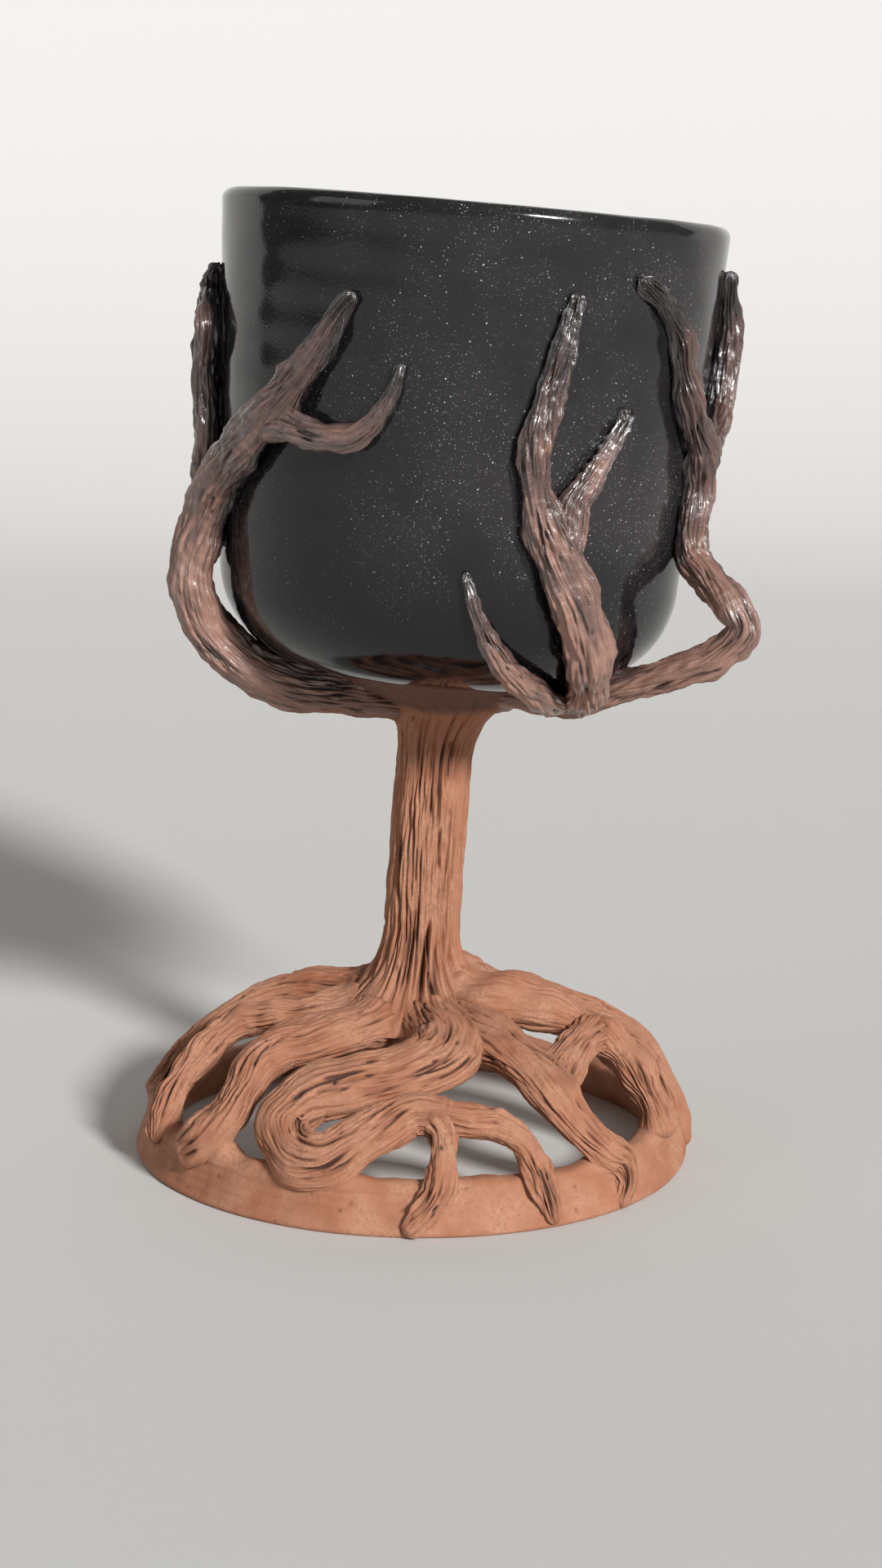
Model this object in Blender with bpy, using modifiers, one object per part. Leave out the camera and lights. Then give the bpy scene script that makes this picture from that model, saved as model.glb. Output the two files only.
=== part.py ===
"""A tree chalice in fired clay: thrown cup and foot ring, with hand-built trunk, limbs and roots.

Every piece is laid out in millimetres from the middle of the foot ring's underside and built in metres.
Limbs are placed on the cup's own profile, and roots between the trunk and the ring, so both follow when
a size of the cup, the trunk or the ring changes. At the end the whole is moved so that the middle of its
bounding box stands over the origin.
"""

import math
from typing import NamedTuple

import bmesh
import bpy
import numpy as np
from mathutils import Vector

MM = 0.001

# Foot ring
RING_RADIUS = 56.0
RING_HEIGHT = 9.5
RING_WALL = 5.2
RING_LEAN = 2.6
RING_EDGE = 0.8
RING_CREST = 2.2

# Root dome: height of the roots' centre lines where they leave the trunk, and how far the top leans right
DOME_HEIGHT = 33.0
DOME_OFFSET = 2.0

# Trunk, leaning from its foot towards the cup
TRUNK_RADIUS = 7.6
TRUNK_FOOT_RADIUS = 18.0
TRUNK_FOOT_FLARE = 22.0
TRUNK_CROWN_RADIUS = 22.0
TRUNK_CROWN_FLARE = 21.0
TRUNK_FLARE_CURVE = 2.5
TRUNK_FOOT_OFFSET = 0.5
TRUNK_UNDERSIDE = 27.0
TRUNK_FLUTE_DEPTH = 0.45
TRUNK_FLUTES = 6
TRUNK_TWIST = 50.0

# Cup, leaning a little to the right
CUP_OFFSET = 4.1
CUP_FLOOR_HEIGHT = 97.9
CUP_TILT = 3.3
CUP_FLOOR_RADIUS = 25.0
CUP_CORNER_RADIUS = 20.0
CUP_RIM_RADIUS = 48.7
CUP_WAIST_RADIUS = 45.0
CUP_HEIGHT = 89.2
CUP_WALL = 4.2
CUP_FLOOR = 5.0

# Clearance between pieces that touch, facet counts, and the shape of a tip as shares of its section
SEAT_GAP = 0.3
TURNED_STEPS = 48
ARC_STEPS = 6
LIMB_SIDES = 10
TWIG_SIDES = 8
TRUNK_SIDES = 24
RING_SPACING = 5.5
TWIG_SPACING = 4.0
TRUNK_SPACING = 3.6
TIP_LENGTH = 0.6
TIP_SCALE = 0.5
LEAST_SECTION = 1.0
SHARP_ANGLE = 40.0
OFFCUT_MERGE = 0.004


class Finish(NamedTuple):
    """Colour and gloss of one fired surface."""

    colour: tuple
    roughness: float


BLACK_GLAZE = Finish((0.012, 0.012, 0.014), 0.18)
BARE_CLAY = Finish((0.40, 0.17, 0.085), 0.75)
GLAZED_CLAY = Finish((0.19, 0.085, 0.055), 0.40)


class OnCup(NamedTuple):
    """A place on the cup's outside.

    bearing: degrees from the front, positive to the right
    wrap: 0 at the middle of the floor, 1 at the floor's edge, 2 where the wall starts, 3 at the rim
    standoff: from the cup's surface out to the centre line
    width, thickness: the section along the surface and away from it
    """

    bearing: float
    wrap: float
    standoff: float
    width: float
    thickness: float


class OnDome(NamedTuple):
    """A place on the root dome.

    bearing: degrees from the front, positive to the right
    reach: 0 at the ring's axis, 1 at the ring's outer radius
    rise: -1 at the ground, 0 at the top of the ring, 1 at the top of the dome
    width, thickness: the section along the dome and away from it
    """

    bearing: float
    reach: float
    rise: float
    width: float
    thickness: float


LIMBS = {
    "left_limb": [
        OnCup(-80, 0.15, 6.0, 9.6, 9.0),
        OnCup(-76, 0.7, 5.6, 10.0, 9.2),
        OnCup(-75, 1.12, 4.6, 10.4, 9.4),
        OnCup(-75, 1.46, 5.0, 10.6, 9.4),
        OnCup(-75, 1.71, 6.2, 10.6, 9.2),
        OnCup(-74, 1.92, 6.4, 10.2, 8.6),
        OnCup(-73, 2.087, 4.4, 9.8, 8.2),
        OnCup(-67, 2.213, 3.0, 9.4, 7.8),
        OnCup(-56, 2.324, 2.8, 9.0, 7.4),
        OnCup(-47, 2.407, 2.7, 8.0, 6.8),
        OnCup(-39.5, 2.494, 2.5, 7.0, 6.0),
        OnCup(-33, 2.6, 2.0, 6.0, 5.2),
        OnCup(-26.5, 2.726, 1.2, 3.6, 3.4),
    ],
    "right_limb": [
        OnCup(60, 0.10, 3.2, 9.0, 8.0),
        OnCup(62, 0.65, 2.4, 8.6, 7.2),
        OnCup(64, 1.08, 2.1, 8.0, 6.6),
        OnCup(65, 1.46, 3.5, 7.4, 6.4),
        OnCup(65, 1.69, 8.8, 7.2, 6.6),
        OnCup(65, 1.83, 14.2, 7.2, 6.6),
        OnCup(65, 1.94, 16.6, 7.4, 6.8),
        OnCup(65, 2.00, 14.4, 7.4, 6.8),
        OnCup(66, 2.058, 9.2, 7.2, 6.6),
        OnCup(68, 2.116, 4.2, 7.2, 6.6),
        OnCup(69, 2.223, 2.8, 7.2, 6.4),
        OnCup(70, 2.319, 2.8, 7.4, 6.2),
        OnCup(67, 2.407, 2.7, 6.6, 6.0),
        OnCup(59, 2.513, 2.4, 6.0, 5.4),
        OnCup(54, 2.62, 2.1, 5.2, 4.8),
        OnCup(52, 2.697, 1.8, 4.8, 4.4),
        OnCup(46, 2.774, 1.3, 3.8, 3.6),
        OnCup(39, 2.832, 0.8, 2.8, 2.8),
    ],
    "front_limb": [
        OnCup(57, 1.16, 2.0, 6.2, 5.6),
        OnCup(47, 1.36, 3.0, 7.6, 7.0),
        OnCup(38.5, 1.58, 3.4, 8.6, 7.6),
        OnCup(33.5, 1.79, 3.2, 9.0, 7.4),
        OnCup(29, 2.00, 3.0, 8.8, 7.0),
        OnCup(24, 2.106, 2.8, 8.6, 6.6),
        OnCup(19.5, 2.203, 2.5, 7.6, 6.0),
        OnCup(17, 2.3, 2.2, 6.6, 5.4),
        OnCup(16.5, 2.407, 2.0, 5.8, 4.8),
        OnCup(18, 2.523, 1.8, 5.2, 4.4),
        OnCup(20.5, 2.649, 1.4, 4.4, 3.8),
        OnCup(22, 2.765, 0.9, 2.8, 2.8),
    ],
    "rear_limb": [
        OnCup(-165, 0.15, 6.5, 9.0, 8.5),
        OnCup(-164, 0.70, 5.4, 9.0, 8.5),
        OnCup(-163, 1.20, 4.2, 9.0, 8.2),
        OnCup(-162, 1.60, 3.8, 9.0, 8.0),
        OnCup(-158, 1.95, 3.4, 8.8, 7.6),
        OnCup(-151, 2.116, 3.0, 8.2, 7.0),
        OnCup(-147, 2.271, 2.8, 7.2, 6.4),
        OnCup(-150, 2.426, 2.4, 6.0, 5.4),
        OnCup(-156, 2.561, 1.9, 4.8, 4.4),
        OnCup(-158, 2.716, 1.1, 2.8, 2.8),
    ],
    "rear_right_limb": [
        OnCup(135, 0.15, 7.0, 8.6, 8.2),
        OnCup(136, 0.70, 5.4, 8.6, 8.2),
        OnCup(138, 1.20, 4.0, 8.4, 7.8),
        OnCup(137, 1.60, 4.0, 8.2, 7.6),
        OnCup(133, 1.92, 3.4, 8.0, 7.2),
        OnCup(128, 2.097, 3.0, 7.6, 6.8),
        OnCup(130, 2.271, 2.6, 6.8, 6.0),
        OnCup(137, 2.426, 2.2, 5.8, 5.2),
        OnCup(140, 2.581, 1.7, 4.4, 4.0),
        OnCup(136, 2.755, 0.9, 2.6, 2.6),
    ],
    "left_rear_limb": [
        OnCup(-75, 2.05, 3.2, 6.0, 5.6),
        OnCup(-81, 2.14, 2.8, 6.6, 6.2),
        OnCup(-87, 2.26, 2.8, 6.8, 6.2),
        OnCup(-91, 2.40, 2.9, 6.6, 6.2),
        OnCup(-93, 2.53, 2.8, 6.4, 6.0),
        OnCup(-91, 2.64, 2.5, 5.8, 5.4),
        OnCup(-87, 2.73, 1.8, 4.6, 4.2),
        OnCup(-82, 2.79, 0.9, 2.6, 2.6),
    ],
}

TWIGS = {
    "front_sprout": [
        OnCup(50, 1.12, 2.6, 4.4, 4.6),
        OnCup(36, 1.27, 2.8, 5.4, 5.0),
        OnCup(24, 1.45, 2.6, 5.4, 4.8),
        OnCup(14, 1.64, 2.2, 4.6, 4.2),
        OnCup(8, 1.85, 1.6, 3.4, 3.2),
        OnCup(4, 2.039, 0.9, 2.2, 2.2),
    ],
    "front_limb_twig": [
        OnCup(24, 2.106, 2.6, 4.6, 4.6),
        OnCup(26, 2.174, 2.4, 6.0, 5.2),
        OnCup(26, 2.252, 2.2, 5.6, 4.8),
        OnCup(30, 2.329, 2.0, 4.8, 4.2),
        OnCup(34, 2.407, 1.6, 3.8, 3.4),
        OnCup(38, 2.484, 1.0, 2.4, 2.4),
    ],
    "left_limb_twig": [
        OnCup(-47, 2.387, 2.6, 4.6, 4.8),
        OnCup(-40, 2.397, 2.5, 5.6, 5.2),
        OnCup(-30, 2.378, 2.3, 5.2, 4.8),
        OnCup(-23, 2.387, 2.0, 4.6, 4.2),
        OnCup(-18, 2.445, 1.6, 3.8, 3.4),
        OnCup(-15, 2.513, 1.2, 2.8, 2.8),
        OnCup(-14, 2.561, 0.8, 2.0, 2.2),
    ],
    "left_rear_twig": [
        OnCup(-87, 2.242, 3.0, 4.6, 4.6),
        OnCup(-83, 2.348, 2.4, 4.8, 4.4),
        OnCup(-80, 2.465, 2.0, 4.2, 3.8),
        OnCup(-79, 2.581, 1.4, 3.2, 3.0),
        OnCup(-81, 2.678, 0.9, 2.2, 2.2),
    ],
    "right_limb_twig": [
        OnCup(67, 2.368, 2.6, 4.6, 4.6),
        OnCup(74, 2.426, 2.6, 6.0, 5.4),
        OnCup(83, 2.503, 2.8, 6.2, 5.6),
        OnCup(86, 2.62, 2.8, 6.0, 5.6),
        OnCup(86, 2.736, 2.4, 5.0, 4.8),
        OnCup(82, 2.857, 1.4, 2.8, 2.8),
    ],
    "rear_limb_twig": [
        OnCup(-152, 2.097, 2.6, 5.0, 5.0),
        OnCup(-162, 2.194, 2.5, 6.0, 5.4),
        OnCup(-171, 2.31, 2.2, 5.2, 4.8),
        OnCup(-176, 2.445, 1.7, 4.0, 3.8),
        OnCup(-179, 2.581, 1.0, 2.4, 2.4),
    ],
    "rear_right_twig": [
        OnCup(128, 2.077, 2.6, 4.8, 4.8),
        OnCup(120, 2.174, 2.4, 5.6, 5.0),
        OnCup(113, 2.29, 2.1, 4.8, 4.4),
        OnCup(110, 2.426, 1.7, 3.8, 3.6),
        OnCup(112, 2.561, 1.0, 2.4, 2.4),
    ],
}

ROOTS = {
    "front_root": [
        OnDome(10, 0.1, 0.84, 9.0, 9.0),
        OnDome(12, 0.26, 0.82, 11.5, 9.0),
        OnDome(14, 0.43, 0.78, 13.0, 8.8),
        OnDome(6, 0.58, 0.73, 13.6, 8.4),
        OnDome(-6, 0.655, 0.67, 13.4, 8.2),
        OnDome(-18, 0.71, 0.61, 12.8, 8.0),
        OnDome(-27, 0.785, 0.49, 12.2, 7.8),
        OnDome(-30, 0.86, 0.33, 11.4, 7.6),
        OnDome(-25, 0.92, 0.17, 10.6, 7.4),
        OnDome(-18, 0.93, 0.15, 10.2, 7.2),
        OnDome(-12, 0.89, 0.26, 9.8, 7.2),
        OnDome(-6, 0.84, 0.38, 9.0, 7.0),
        OnDome(0, 0.795, 0.47, 8.2, 6.8),
        OnDome(7, 0.8, 0.46, 6.8, 6.2),
    ],
    "left_root": [
        OnDome(-60, 0.09, 0.84, 11.0, 9.0),
        OnDome(-47, 0.22, 0.80, 13.0, 9.0),
        OnDome(-42, 0.37, 0.78, 13.4, 8.4),
        OnDome(-45, 0.51, 0.75, 12.4, 8.0),
        OnDome(-50, 0.61, 0.69, 11.2, 7.8),
        OnDome(-50, 0.70, 0.60, 10.4, 7.6),
        OnDome(-47, 0.79, 0.46, 9.6, 7.4),
        OnDome(-45.5, 0.87, 0.29, 9.0, 7.2),
        OnDome(-48, 0.93, 0.11, 8.6, 6.8),
        OnDome(-53, 0.955, -0.05, 7.2, 5.8),
    ],
    "right_front_root": [
        OnDome(36, 0.09, 0.84, 10.6, 9.4),
        OnDome(37.5, 0.25, 0.81, 12.0, 9.4),
        OnDome(37, 0.44, 0.77, 11.8, 9.0),
        OnDome(36, 0.58, 0.72, 10.8, 8.6),
        OnDome(36.5, 0.695, 0.62, 9.8, 8.0),
        OnDome(38.5, 0.79, 0.46, 8.6, 7.2),
        OnDome(41, 0.87, 0.28, 7.6, 6.6),
        OnDome(45, 0.925, 0.11, 6.4, 5.9),
        OnDome(49, 0.965, -0.08, 5.2, 4.8),
        OnDome(49, 0.99, -0.45, 3.6, 3.2),
        OnDome(47, 1.0, -0.78, 2.0, 2.0),
    ],
    "right_root": [
        OnDome(72, 0.09, 0.98, 12.0, 9.5),
        OnDome(70, 0.26, 0.97, 14.5, 9.8),
        OnDome(72, 0.42, 0.94, 14.0, 9.6),
        OnDome(76, 0.54, 0.84, 11.6, 8.8),
        OnDome(77, 0.65, 0.72, 9.8, 8.2),
        OnDome(75.5, 0.745, 0.58, 9.0, 7.8),
        OnDome(73, 0.825, 0.42, 8.4, 7.4),
        OnDome(71, 0.89, 0.24, 8.0, 7.2),
        OnDome(69, 0.94, 0.02, 7.6, 6.6),
    ],
    "rear_right_root": [
        OnDome(122, 0.09, 0.98, 9.0, 8.5),
        OnDome(119, 0.26, 0.90, 9.0, 8.0),
        OnDome(113, 0.48, 0.79, 8.4, 7.5),
        OnDome(107, 0.66, 0.65, 8.0, 7.2),
        OnDome(102, 0.78, 0.49, 7.8, 7.0),
        OnDome(96, 0.87, 0.31, 7.6, 6.8),
        OnDome(90, 0.935, 0.08, 7.2, 6.2),
        OnDome(86, 0.97, -0.2, 5.8, 4.8),
        OnDome(84, 0.985, -0.55, 3.6, 3.2),
    ],
    "rear_left_root": [
        OnDome(-125, 0.09, 0.92, 9.0, 8.5),
        OnDome(-120, 0.22, 0.91, 9.0, 8.0),
        OnDome(-117, 0.38, 0.87, 8.6, 7.5),
        OnDome(-112, 0.55, 0.77, 8.0, 7.0),
        OnDome(-106, 0.68, 0.61, 7.6, 6.8),
        OnDome(-100, 0.8, 0.38, 7.4, 6.6),
        OnDome(-95, 0.89, 0.15, 7.4, 6.4),
        OnDome(-93, 0.935, -0.03, 7.0, 5.8),
    ],
    "rear_root": [
        OnDome(176, 0.09, 1.06, 9.5, 9.0),
        OnDome(175, 0.25, 0.98, 9.8, 8.5),
        OnDome(170, 0.44, 0.88, 9.2, 8.0),
        OnDome(163, 0.60, 0.76, 8.8, 7.6),
        OnDome(158, 0.74, 0.57, 8.4, 7.4),
        OnDome(157, 0.85, 0.34, 8.0, 7.0),
        OnDome(159, 0.935, 0.04, 7.6, 6.6),
    ],
}

RUNNERS = {
    "left_root_branch": [
        OnDome(-88, 0.14, 0.84, 8.0, 6.4),
        OnDome(-80, 0.28, 0.84, 9.0, 6.4),
        OnDome(-77, 0.42, 0.82, 8.8, 6.2),
        OnDome(-79, 0.54, 0.78, 7.6, 6.0),
        OnDome(-81, 0.635, 0.72, 6.6, 6.0),
        OnDome(-78, 0.715, 0.63, 6.2, 6.0),
        OnDome(-73, 0.80, 0.49, 6.0, 6.0),
        OnDome(-70, 0.885, 0.28, 5.8, 6.0),
        OnDome(-68, 0.94, 0.05, 5.8, 5.6),
        OnDome(-66, 0.97, -0.16, 5.2, 4.6),
    ],
    "front_root_leg": [
        OnDome(4, 0.80, 0.46, 5.0, 5.0),
        OnDome(7, 0.85, 0.36, 5.6, 5.4),
        OnDome(7, 0.92, 0.15, 5.4, 5.0),
        OnDome(6, 0.965, -0.10, 5.0, 4.4),
        OnDome(4, 0.985, -0.42, 4.0, 3.4),
        OnDome(1, 1.00, -0.76, 2.4, 2.4),
    ],
    "front_root_spur": [
        OnDome(5, 0.80, 0.46, 5.0, 5.0),
        OnDome(13, 0.825, 0.41, 6.0, 5.6),
        OnDome(20, 0.84, 0.37, 5.8, 5.4),
        OnDome(25, 0.88, 0.27, 5.4, 5.0),
        OnDome(27, 0.935, 0.09, 5.0, 4.6),
        OnDome(28, 0.975, -0.22, 4.0, 3.6),
        OnDome(29, 1.00, -0.70, 2.4, 2.4),
    ],
    "root_bridge": [
        OnDome(39, 0.765, 0.52, 7.6, 6.4),
        OnDome(45, 0.715, 0.61, 8.6, 6.8),
        OnDome(54, 0.675, 0.68, 8.2, 6.6),
        OnDome(64, 0.655, 0.73, 7.8, 6.4),
        OnDome(75, 0.66, 0.73, 7.0, 6.0),
    ],
    "rear_root_runner": [
        OnDome(172, 0.44, 0.88, 6.0, 6.0),
        OnDome(-176, 0.56, 0.78, 7.0, 6.6),
        OnDome(-165, 0.70, 0.62, 6.8, 6.4),
        OnDome(-157, 0.82, 0.40, 6.4, 6.2),
        OnDome(-154, 0.91, 0.14, 6.2, 5.8),
        OnDome(-154, 0.945, -0.03, 5.8, 5.2),
    ],
}


def outward(bearing):
    """Unit vector that points from an upright axis towards a bearing."""
    angle = math.radians(bearing)
    return np.array([math.sin(angle), -math.cos(angle), 0.0])


def cup_profile(wrap):
    """Radius, height and outward normal (radial, up) of the cup's outside."""
    if wrap < 1:
        return CUP_FLOOR_RADIUS * wrap, 0.0, (0.0, -1.0)
    if wrap < 2:
        turn = math.radians(90 * (wrap - 1))
        normal = (math.sin(turn), -math.cos(turn))
        corner = CUP_WAIST_RADIUS - CUP_FLOOR_RADIUS
        radius = CUP_FLOOR_RADIUS + corner * normal[0]
        return radius, CUP_CORNER_RADIUS * (1 + normal[1]), normal
    climb = wrap - 2
    wall = CUP_HEIGHT - CUP_CORNER_RADIUS
    flare = CUP_RIM_RADIUS - CUP_WAIST_RADIUS
    slant = math.hypot(wall, flare)
    return CUP_WAIST_RADIUS + flare * climb, CUP_CORNER_RADIUS + wall * climb, (wall / slant, -flare / slant)


def on_cup(place):
    """Centre and surface normal of a place on the cup, in the cup's frame."""
    radius, height, (radial, up) = cup_profile(place.wrap)
    out = outward(place.bearing)
    normal = out * radial + np.array([0.0, 0.0, up])
    return out * radius + np.array([0.0, 0.0, height]) + normal * place.standoff, normal


def on_dome(place):
    """Centre and surface normal of a place on the root dome, in the ring's frame."""
    if place.rise < 0:
        height = RING_HEIGHT * (1 + place.rise)
    else:
        height = RING_HEIGHT + (DOME_HEIGHT - RING_HEIGHT) * place.rise
    radius = RING_RADIUS * place.reach
    out = outward(place.bearing)
    lean = DOME_OFFSET * (1 - place.reach)
    centre = out * radius + np.array([lean, 0.0, height])
    normal = out * radius / RING_RADIUS**2 + np.array([0.0, 0.0, max(height - RING_HEIGHT, 0) / DOME_HEIGHT**2])
    return centre, normal / np.linalg.norm(normal)


def smooth_through(values, spacing):
    """Rows read at even steps from a smooth curve through the given rows, whose first three are a point."""
    legs = np.linalg.norm(np.diff(values[:, :3], axis=0), axis=1)
    along = np.concatenate([[0.0], np.cumsum(legs)])
    slopes = np.gradient(values, along, axis=0)
    count = max(2, round(along[-1] / spacing))
    at = np.linspace(0, along[-1], count + 1)
    leg = np.clip(np.searchsorted(along, at, side="right") - 1, 0, len(legs) - 1)
    t = ((at - along[leg]) / legs[leg])[:, None]
    span = legs[leg][:, None]
    return (
        (2 * t**3 - 3 * t**2 + 1) * values[leg]
        + (t**3 - 2 * t**2 + t) * span * slopes[leg]
        + (3 * t**2 - 2 * t**3) * values[leg + 1]
        + (t**3 - t**2) * span * slopes[leg + 1]
    )


def loft_rings(places, locate, sides, spacing, grow):
    """Elliptical sections along a smooth line through the places, ending in a rounded tip."""
    rows = []
    for place in places:
        centre, normal = locate(place)
        rows.append([*centre, *normal, place.width, place.thickness])
    rows = smooth_through(np.array(rows), spacing)
    centres = rows[:, :3]
    heading = np.gradient(centres, axis=0)
    heading /= np.linalg.norm(heading, axis=1)[:, None]
    away = rows[:, 3:6] - heading * np.sum(rows[:, 3:6] * heading, axis=1)[:, None]
    away /= np.linalg.norm(away, axis=1)[:, None]
    across = np.cross(heading, away)
    half = np.maximum(rows[:, 6:8], LEAST_SECTION) / 2 + grow
    centres[0] -= heading[0] * grow
    turn = np.arange(sides) * 2 * math.pi / sides
    ring = np.cos(turn)[None, :, None] * across[:, None] * half[:, 0, None, None]
    ring = ring + np.sin(turn)[None, :, None] * away[:, None] * half[:, 1, None, None]
    tip = centres[-1] + heading[-1] * (half[-1].min() * TIP_LENGTH + grow) + ring[-1] * TIP_SCALE
    return [*(centres[:, None] + ring), tip]


def mesh_of_rings(name, rings):
    """Closed mesh over a row of sections with as many points each, capped at both ends."""
    mesh = bpy.data.meshes.new(name)
    work = bmesh.new()
    loops = [[work.verts.new(Vector(point) * MM) for point in ring] for ring in rings]
    for lower, upper in zip(loops, loops[1:]):
        for side in range(len(lower)):
            after = (side + 1) % len(lower)
            work.faces.new((lower[side], lower[after], upper[after], upper[side]))
    work.faces.new(reversed(loops[0]))
    work.faces.new(loops[-1])
    bmesh.ops.triangulate(work, faces=work.faces[:])
    bmesh.ops.recalc_face_normals(work, faces=work.faces[:])
    work.to_mesh(mesh)
    work.free()
    return mesh


def turned_mesh(name, outline, closed):
    """Mesh of an outline of (radius, height) turned about Z by a Screw modifier."""
    profile = bpy.data.meshes.new(name + "_outline")
    count = len(outline)
    edges = [(at, (at + 1) % count) for at in range(count if closed else count - 1)]
    profile.from_pydata([(radius * MM, 0, height * MM) for radius, height in outline], edges, [])
    turned = bpy.data.objects.new(name + "_outline", profile)
    bpy.context.scene.collection.objects.link(turned)
    screw = turned.modifiers.new("turn", "SCREW")
    screw.axis = "Z"
    screw.steps = screw.render_steps = TURNED_STEPS
    screw.use_merge_vertices = True
    screw.merge_threshold = 0.0001
    screw.use_normal_calculate = False
    mesh = solid_of(turned, name)
    bpy.data.objects.remove(turned)
    bpy.data.meshes.remove(profile)
    work = bmesh.new()
    work.from_mesh(mesh)
    bmesh.ops.recalc_face_normals(work, faces=work.faces[:])
    work.to_mesh(mesh)
    work.free()
    return mesh


def solid_of(item, name):
    """Mesh of an object with its modifiers applied."""
    bpy.context.view_layer.update()
    graph = bpy.context.evaluated_depsgraph_get()
    mesh = bpy.data.meshes.new_from_object(item.evaluated_get(graph))
    mesh.name = name
    return mesh


def cup_outline():
    """Outline from the middle of the inner floor, over the lip and down the outside to the middle below."""
    inner_corner = CUP_CORNER_RADIUS - CUP_FLOOR
    outline = [(0.0, CUP_FLOOR), (CUP_FLOOR_RADIUS, CUP_FLOOR)]
    for step in range(1, ARC_STEPS + 1):
        turn = math.radians(90 * step / ARC_STEPS)
        reach = CUP_WAIST_RADIUS - CUP_WALL - CUP_FLOOR_RADIUS
        radius = CUP_FLOOR_RADIUS + reach * math.sin(turn)
        outline.append((radius, CUP_FLOOR + inner_corner * (1 - math.cos(turn))))
    lip = CUP_WALL / 2
    for step in range(ARC_STEPS + 1):
        turn = math.radians(180 * step / ARC_STEPS)
        outline.append((CUP_RIM_RADIUS - lip - lip * math.cos(turn), CUP_HEIGHT - lip + lip * math.sin(turn)))
    for step in range(ARC_STEPS + 1):
        outline.append(cup_profile(2 - step / ARC_STEPS)[:2])
    outline.append((0.0, 0.0))
    return outline


def cup_block_outline(grow):
    """Outline of the cup filled to above its rim, grown all round."""
    top = CUP_HEIGHT + CUP_WALL
    outline = [(0.0, top), (CUP_RIM_RADIUS + grow, top)]
    for wrap in [3] + [2 - step / ARC_STEPS for step in range(ARC_STEPS + 1)]:
        radius, height, normal = cup_profile(wrap)
        outline.append((radius + normal[0] * grow, height + normal[1] * grow))
    outline.append((0.0, -grow))
    return outline


def ring_outline(grow):
    """Outline of the foot ring's leaning section, round at the crest and flat below, grown all round."""
    top = RING_RADIUS - RING_LEAN
    corners = [
        (top - RING_CREST, RING_HEIGHT - RING_CREST, RING_CREST, 90),
        (RING_RADIUS - RING_EDGE, RING_EDGE, RING_EDGE, 0),
        (RING_RADIUS - RING_WALL + RING_EDGE, RING_EDGE, RING_EDGE, -90),
        (top - RING_WALL + RING_CREST, RING_HEIGHT - RING_CREST, RING_CREST, -180),
    ]
    outline = []
    for radius, height, edge, start in corners:
        for step in range(3):
            turn = math.radians(start - 45 * step)
            swing = edge + grow
            outline.append((radius + swing * math.cos(turn), height + swing * math.sin(turn)))
    return outline


def trunk_rings(grow):
    """Fluted sections of the trunk, flared at the foot and at the crown."""
    foot = np.array([TRUNK_FOOT_OFFSET, 0.0, TRUNK_UNDERSIDE])
    crown = np.array([CUP_OFFSET, 0.0, CUP_FLOOR_HEIGHT + SEAT_GAP])
    tall = crown[2] - foot[2]
    count = round(tall / TRUNK_SPACING)
    rings = []
    for step in range(count + 1):
        share = step / count
        below = max(0.0, 1 - share * tall / TRUNK_FOOT_FLARE)
        above = max(0.0, 1 - (1 - share) * tall / TRUNK_CROWN_FLARE)
        foot_step = TRUNK_FOOT_RADIUS - TRUNK_RADIUS
        crown_step = TRUNK_CROWN_RADIUS - TRUNK_RADIUS
        curve = TRUNK_FLARE_CURVE
        radius = TRUNK_RADIUS + foot_step * below**curve + crown_step * above**curve
        slope = curve * crown_step * above ** (curve - 1) / TRUNK_CROWN_FLARE
        slope -= curve * foot_step * below ** (curve - 1) / TRUNK_FOOT_FLARE
        radius += grow * math.hypot(1, slope)
        centre = foot + (crown - foot) * share
        ring = []
        for side in range(TRUNK_SIDES):
            turn = 2 * math.pi * side / TRUNK_SIDES
            flute = TRUNK_FLUTE_DEPTH * math.cos(TRUNK_FLUTES * (turn + math.radians(TRUNK_TWIST) * share))
            ring.append(centre + (radius + flute) * np.array([math.cos(turn), math.sin(turn), 0.0]))
        rings.append(ring)
    rings[0] = rings[0] - np.array([0.0, 0.0, grow])
    rings[-1] = rings[-1] + np.array([0.0, 0.0, grow])
    return rings


def fired_material(name, finish):
    """Material of one piece in one of the fired finishes."""
    material = bpy.data.materials.new(name + "_finish")
    material.use_nodes = True
    shader = material.node_tree.nodes["Principled BSDF"]
    shader.inputs["Base Color"].default_value = (*finish.colour, 1.0)
    shader.inputs["Roughness"].default_value = finish.roughness
    shader.inputs["Metallic"].default_value = 0.0
    material.diffuse_color = (*finish.colour, 1.0)
    return material


def largest_body(mesh):
    """Keeps the largest closed body of a mesh and drops the offcuts."""
    work = bmesh.new()
    work.from_mesh(mesh)
    bmesh.ops.remove_doubles(work, verts=work.verts[:], dist=OFFCUT_MERGE * MM)
    bmesh.ops.dissolve_degenerate(work, edges=work.edges[:], dist=OFFCUT_MERGE * MM)
    bmesh.ops.triangulate(work, faces=work.faces[:])
    left = set(work.verts)
    bodies = []
    while left:
        reached = {left.pop()}
        front = list(reached)
        while front:
            for edge in front.pop().link_edges:
                for vert in edge.verts:
                    if vert not in reached:
                        reached.add(vert)
                        front.append(vert)
        left -= reached
        bodies.append(reached)
    bodies.sort(key=body_volume)
    for body in bodies[:-1]:
        bmesh.ops.delete(work, geom=list(body), context="VERTS")
    work.to_mesh(mesh)
    work.free()


def body_volume(body):
    """Volume inside the faces of a set of points."""
    faces = {face for vert in body for face in vert.link_faces}
    return sum(face.verts[0].co.dot(face.verts[1].co.cross(face.verts[2].co)) for face in faces) / 6


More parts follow.
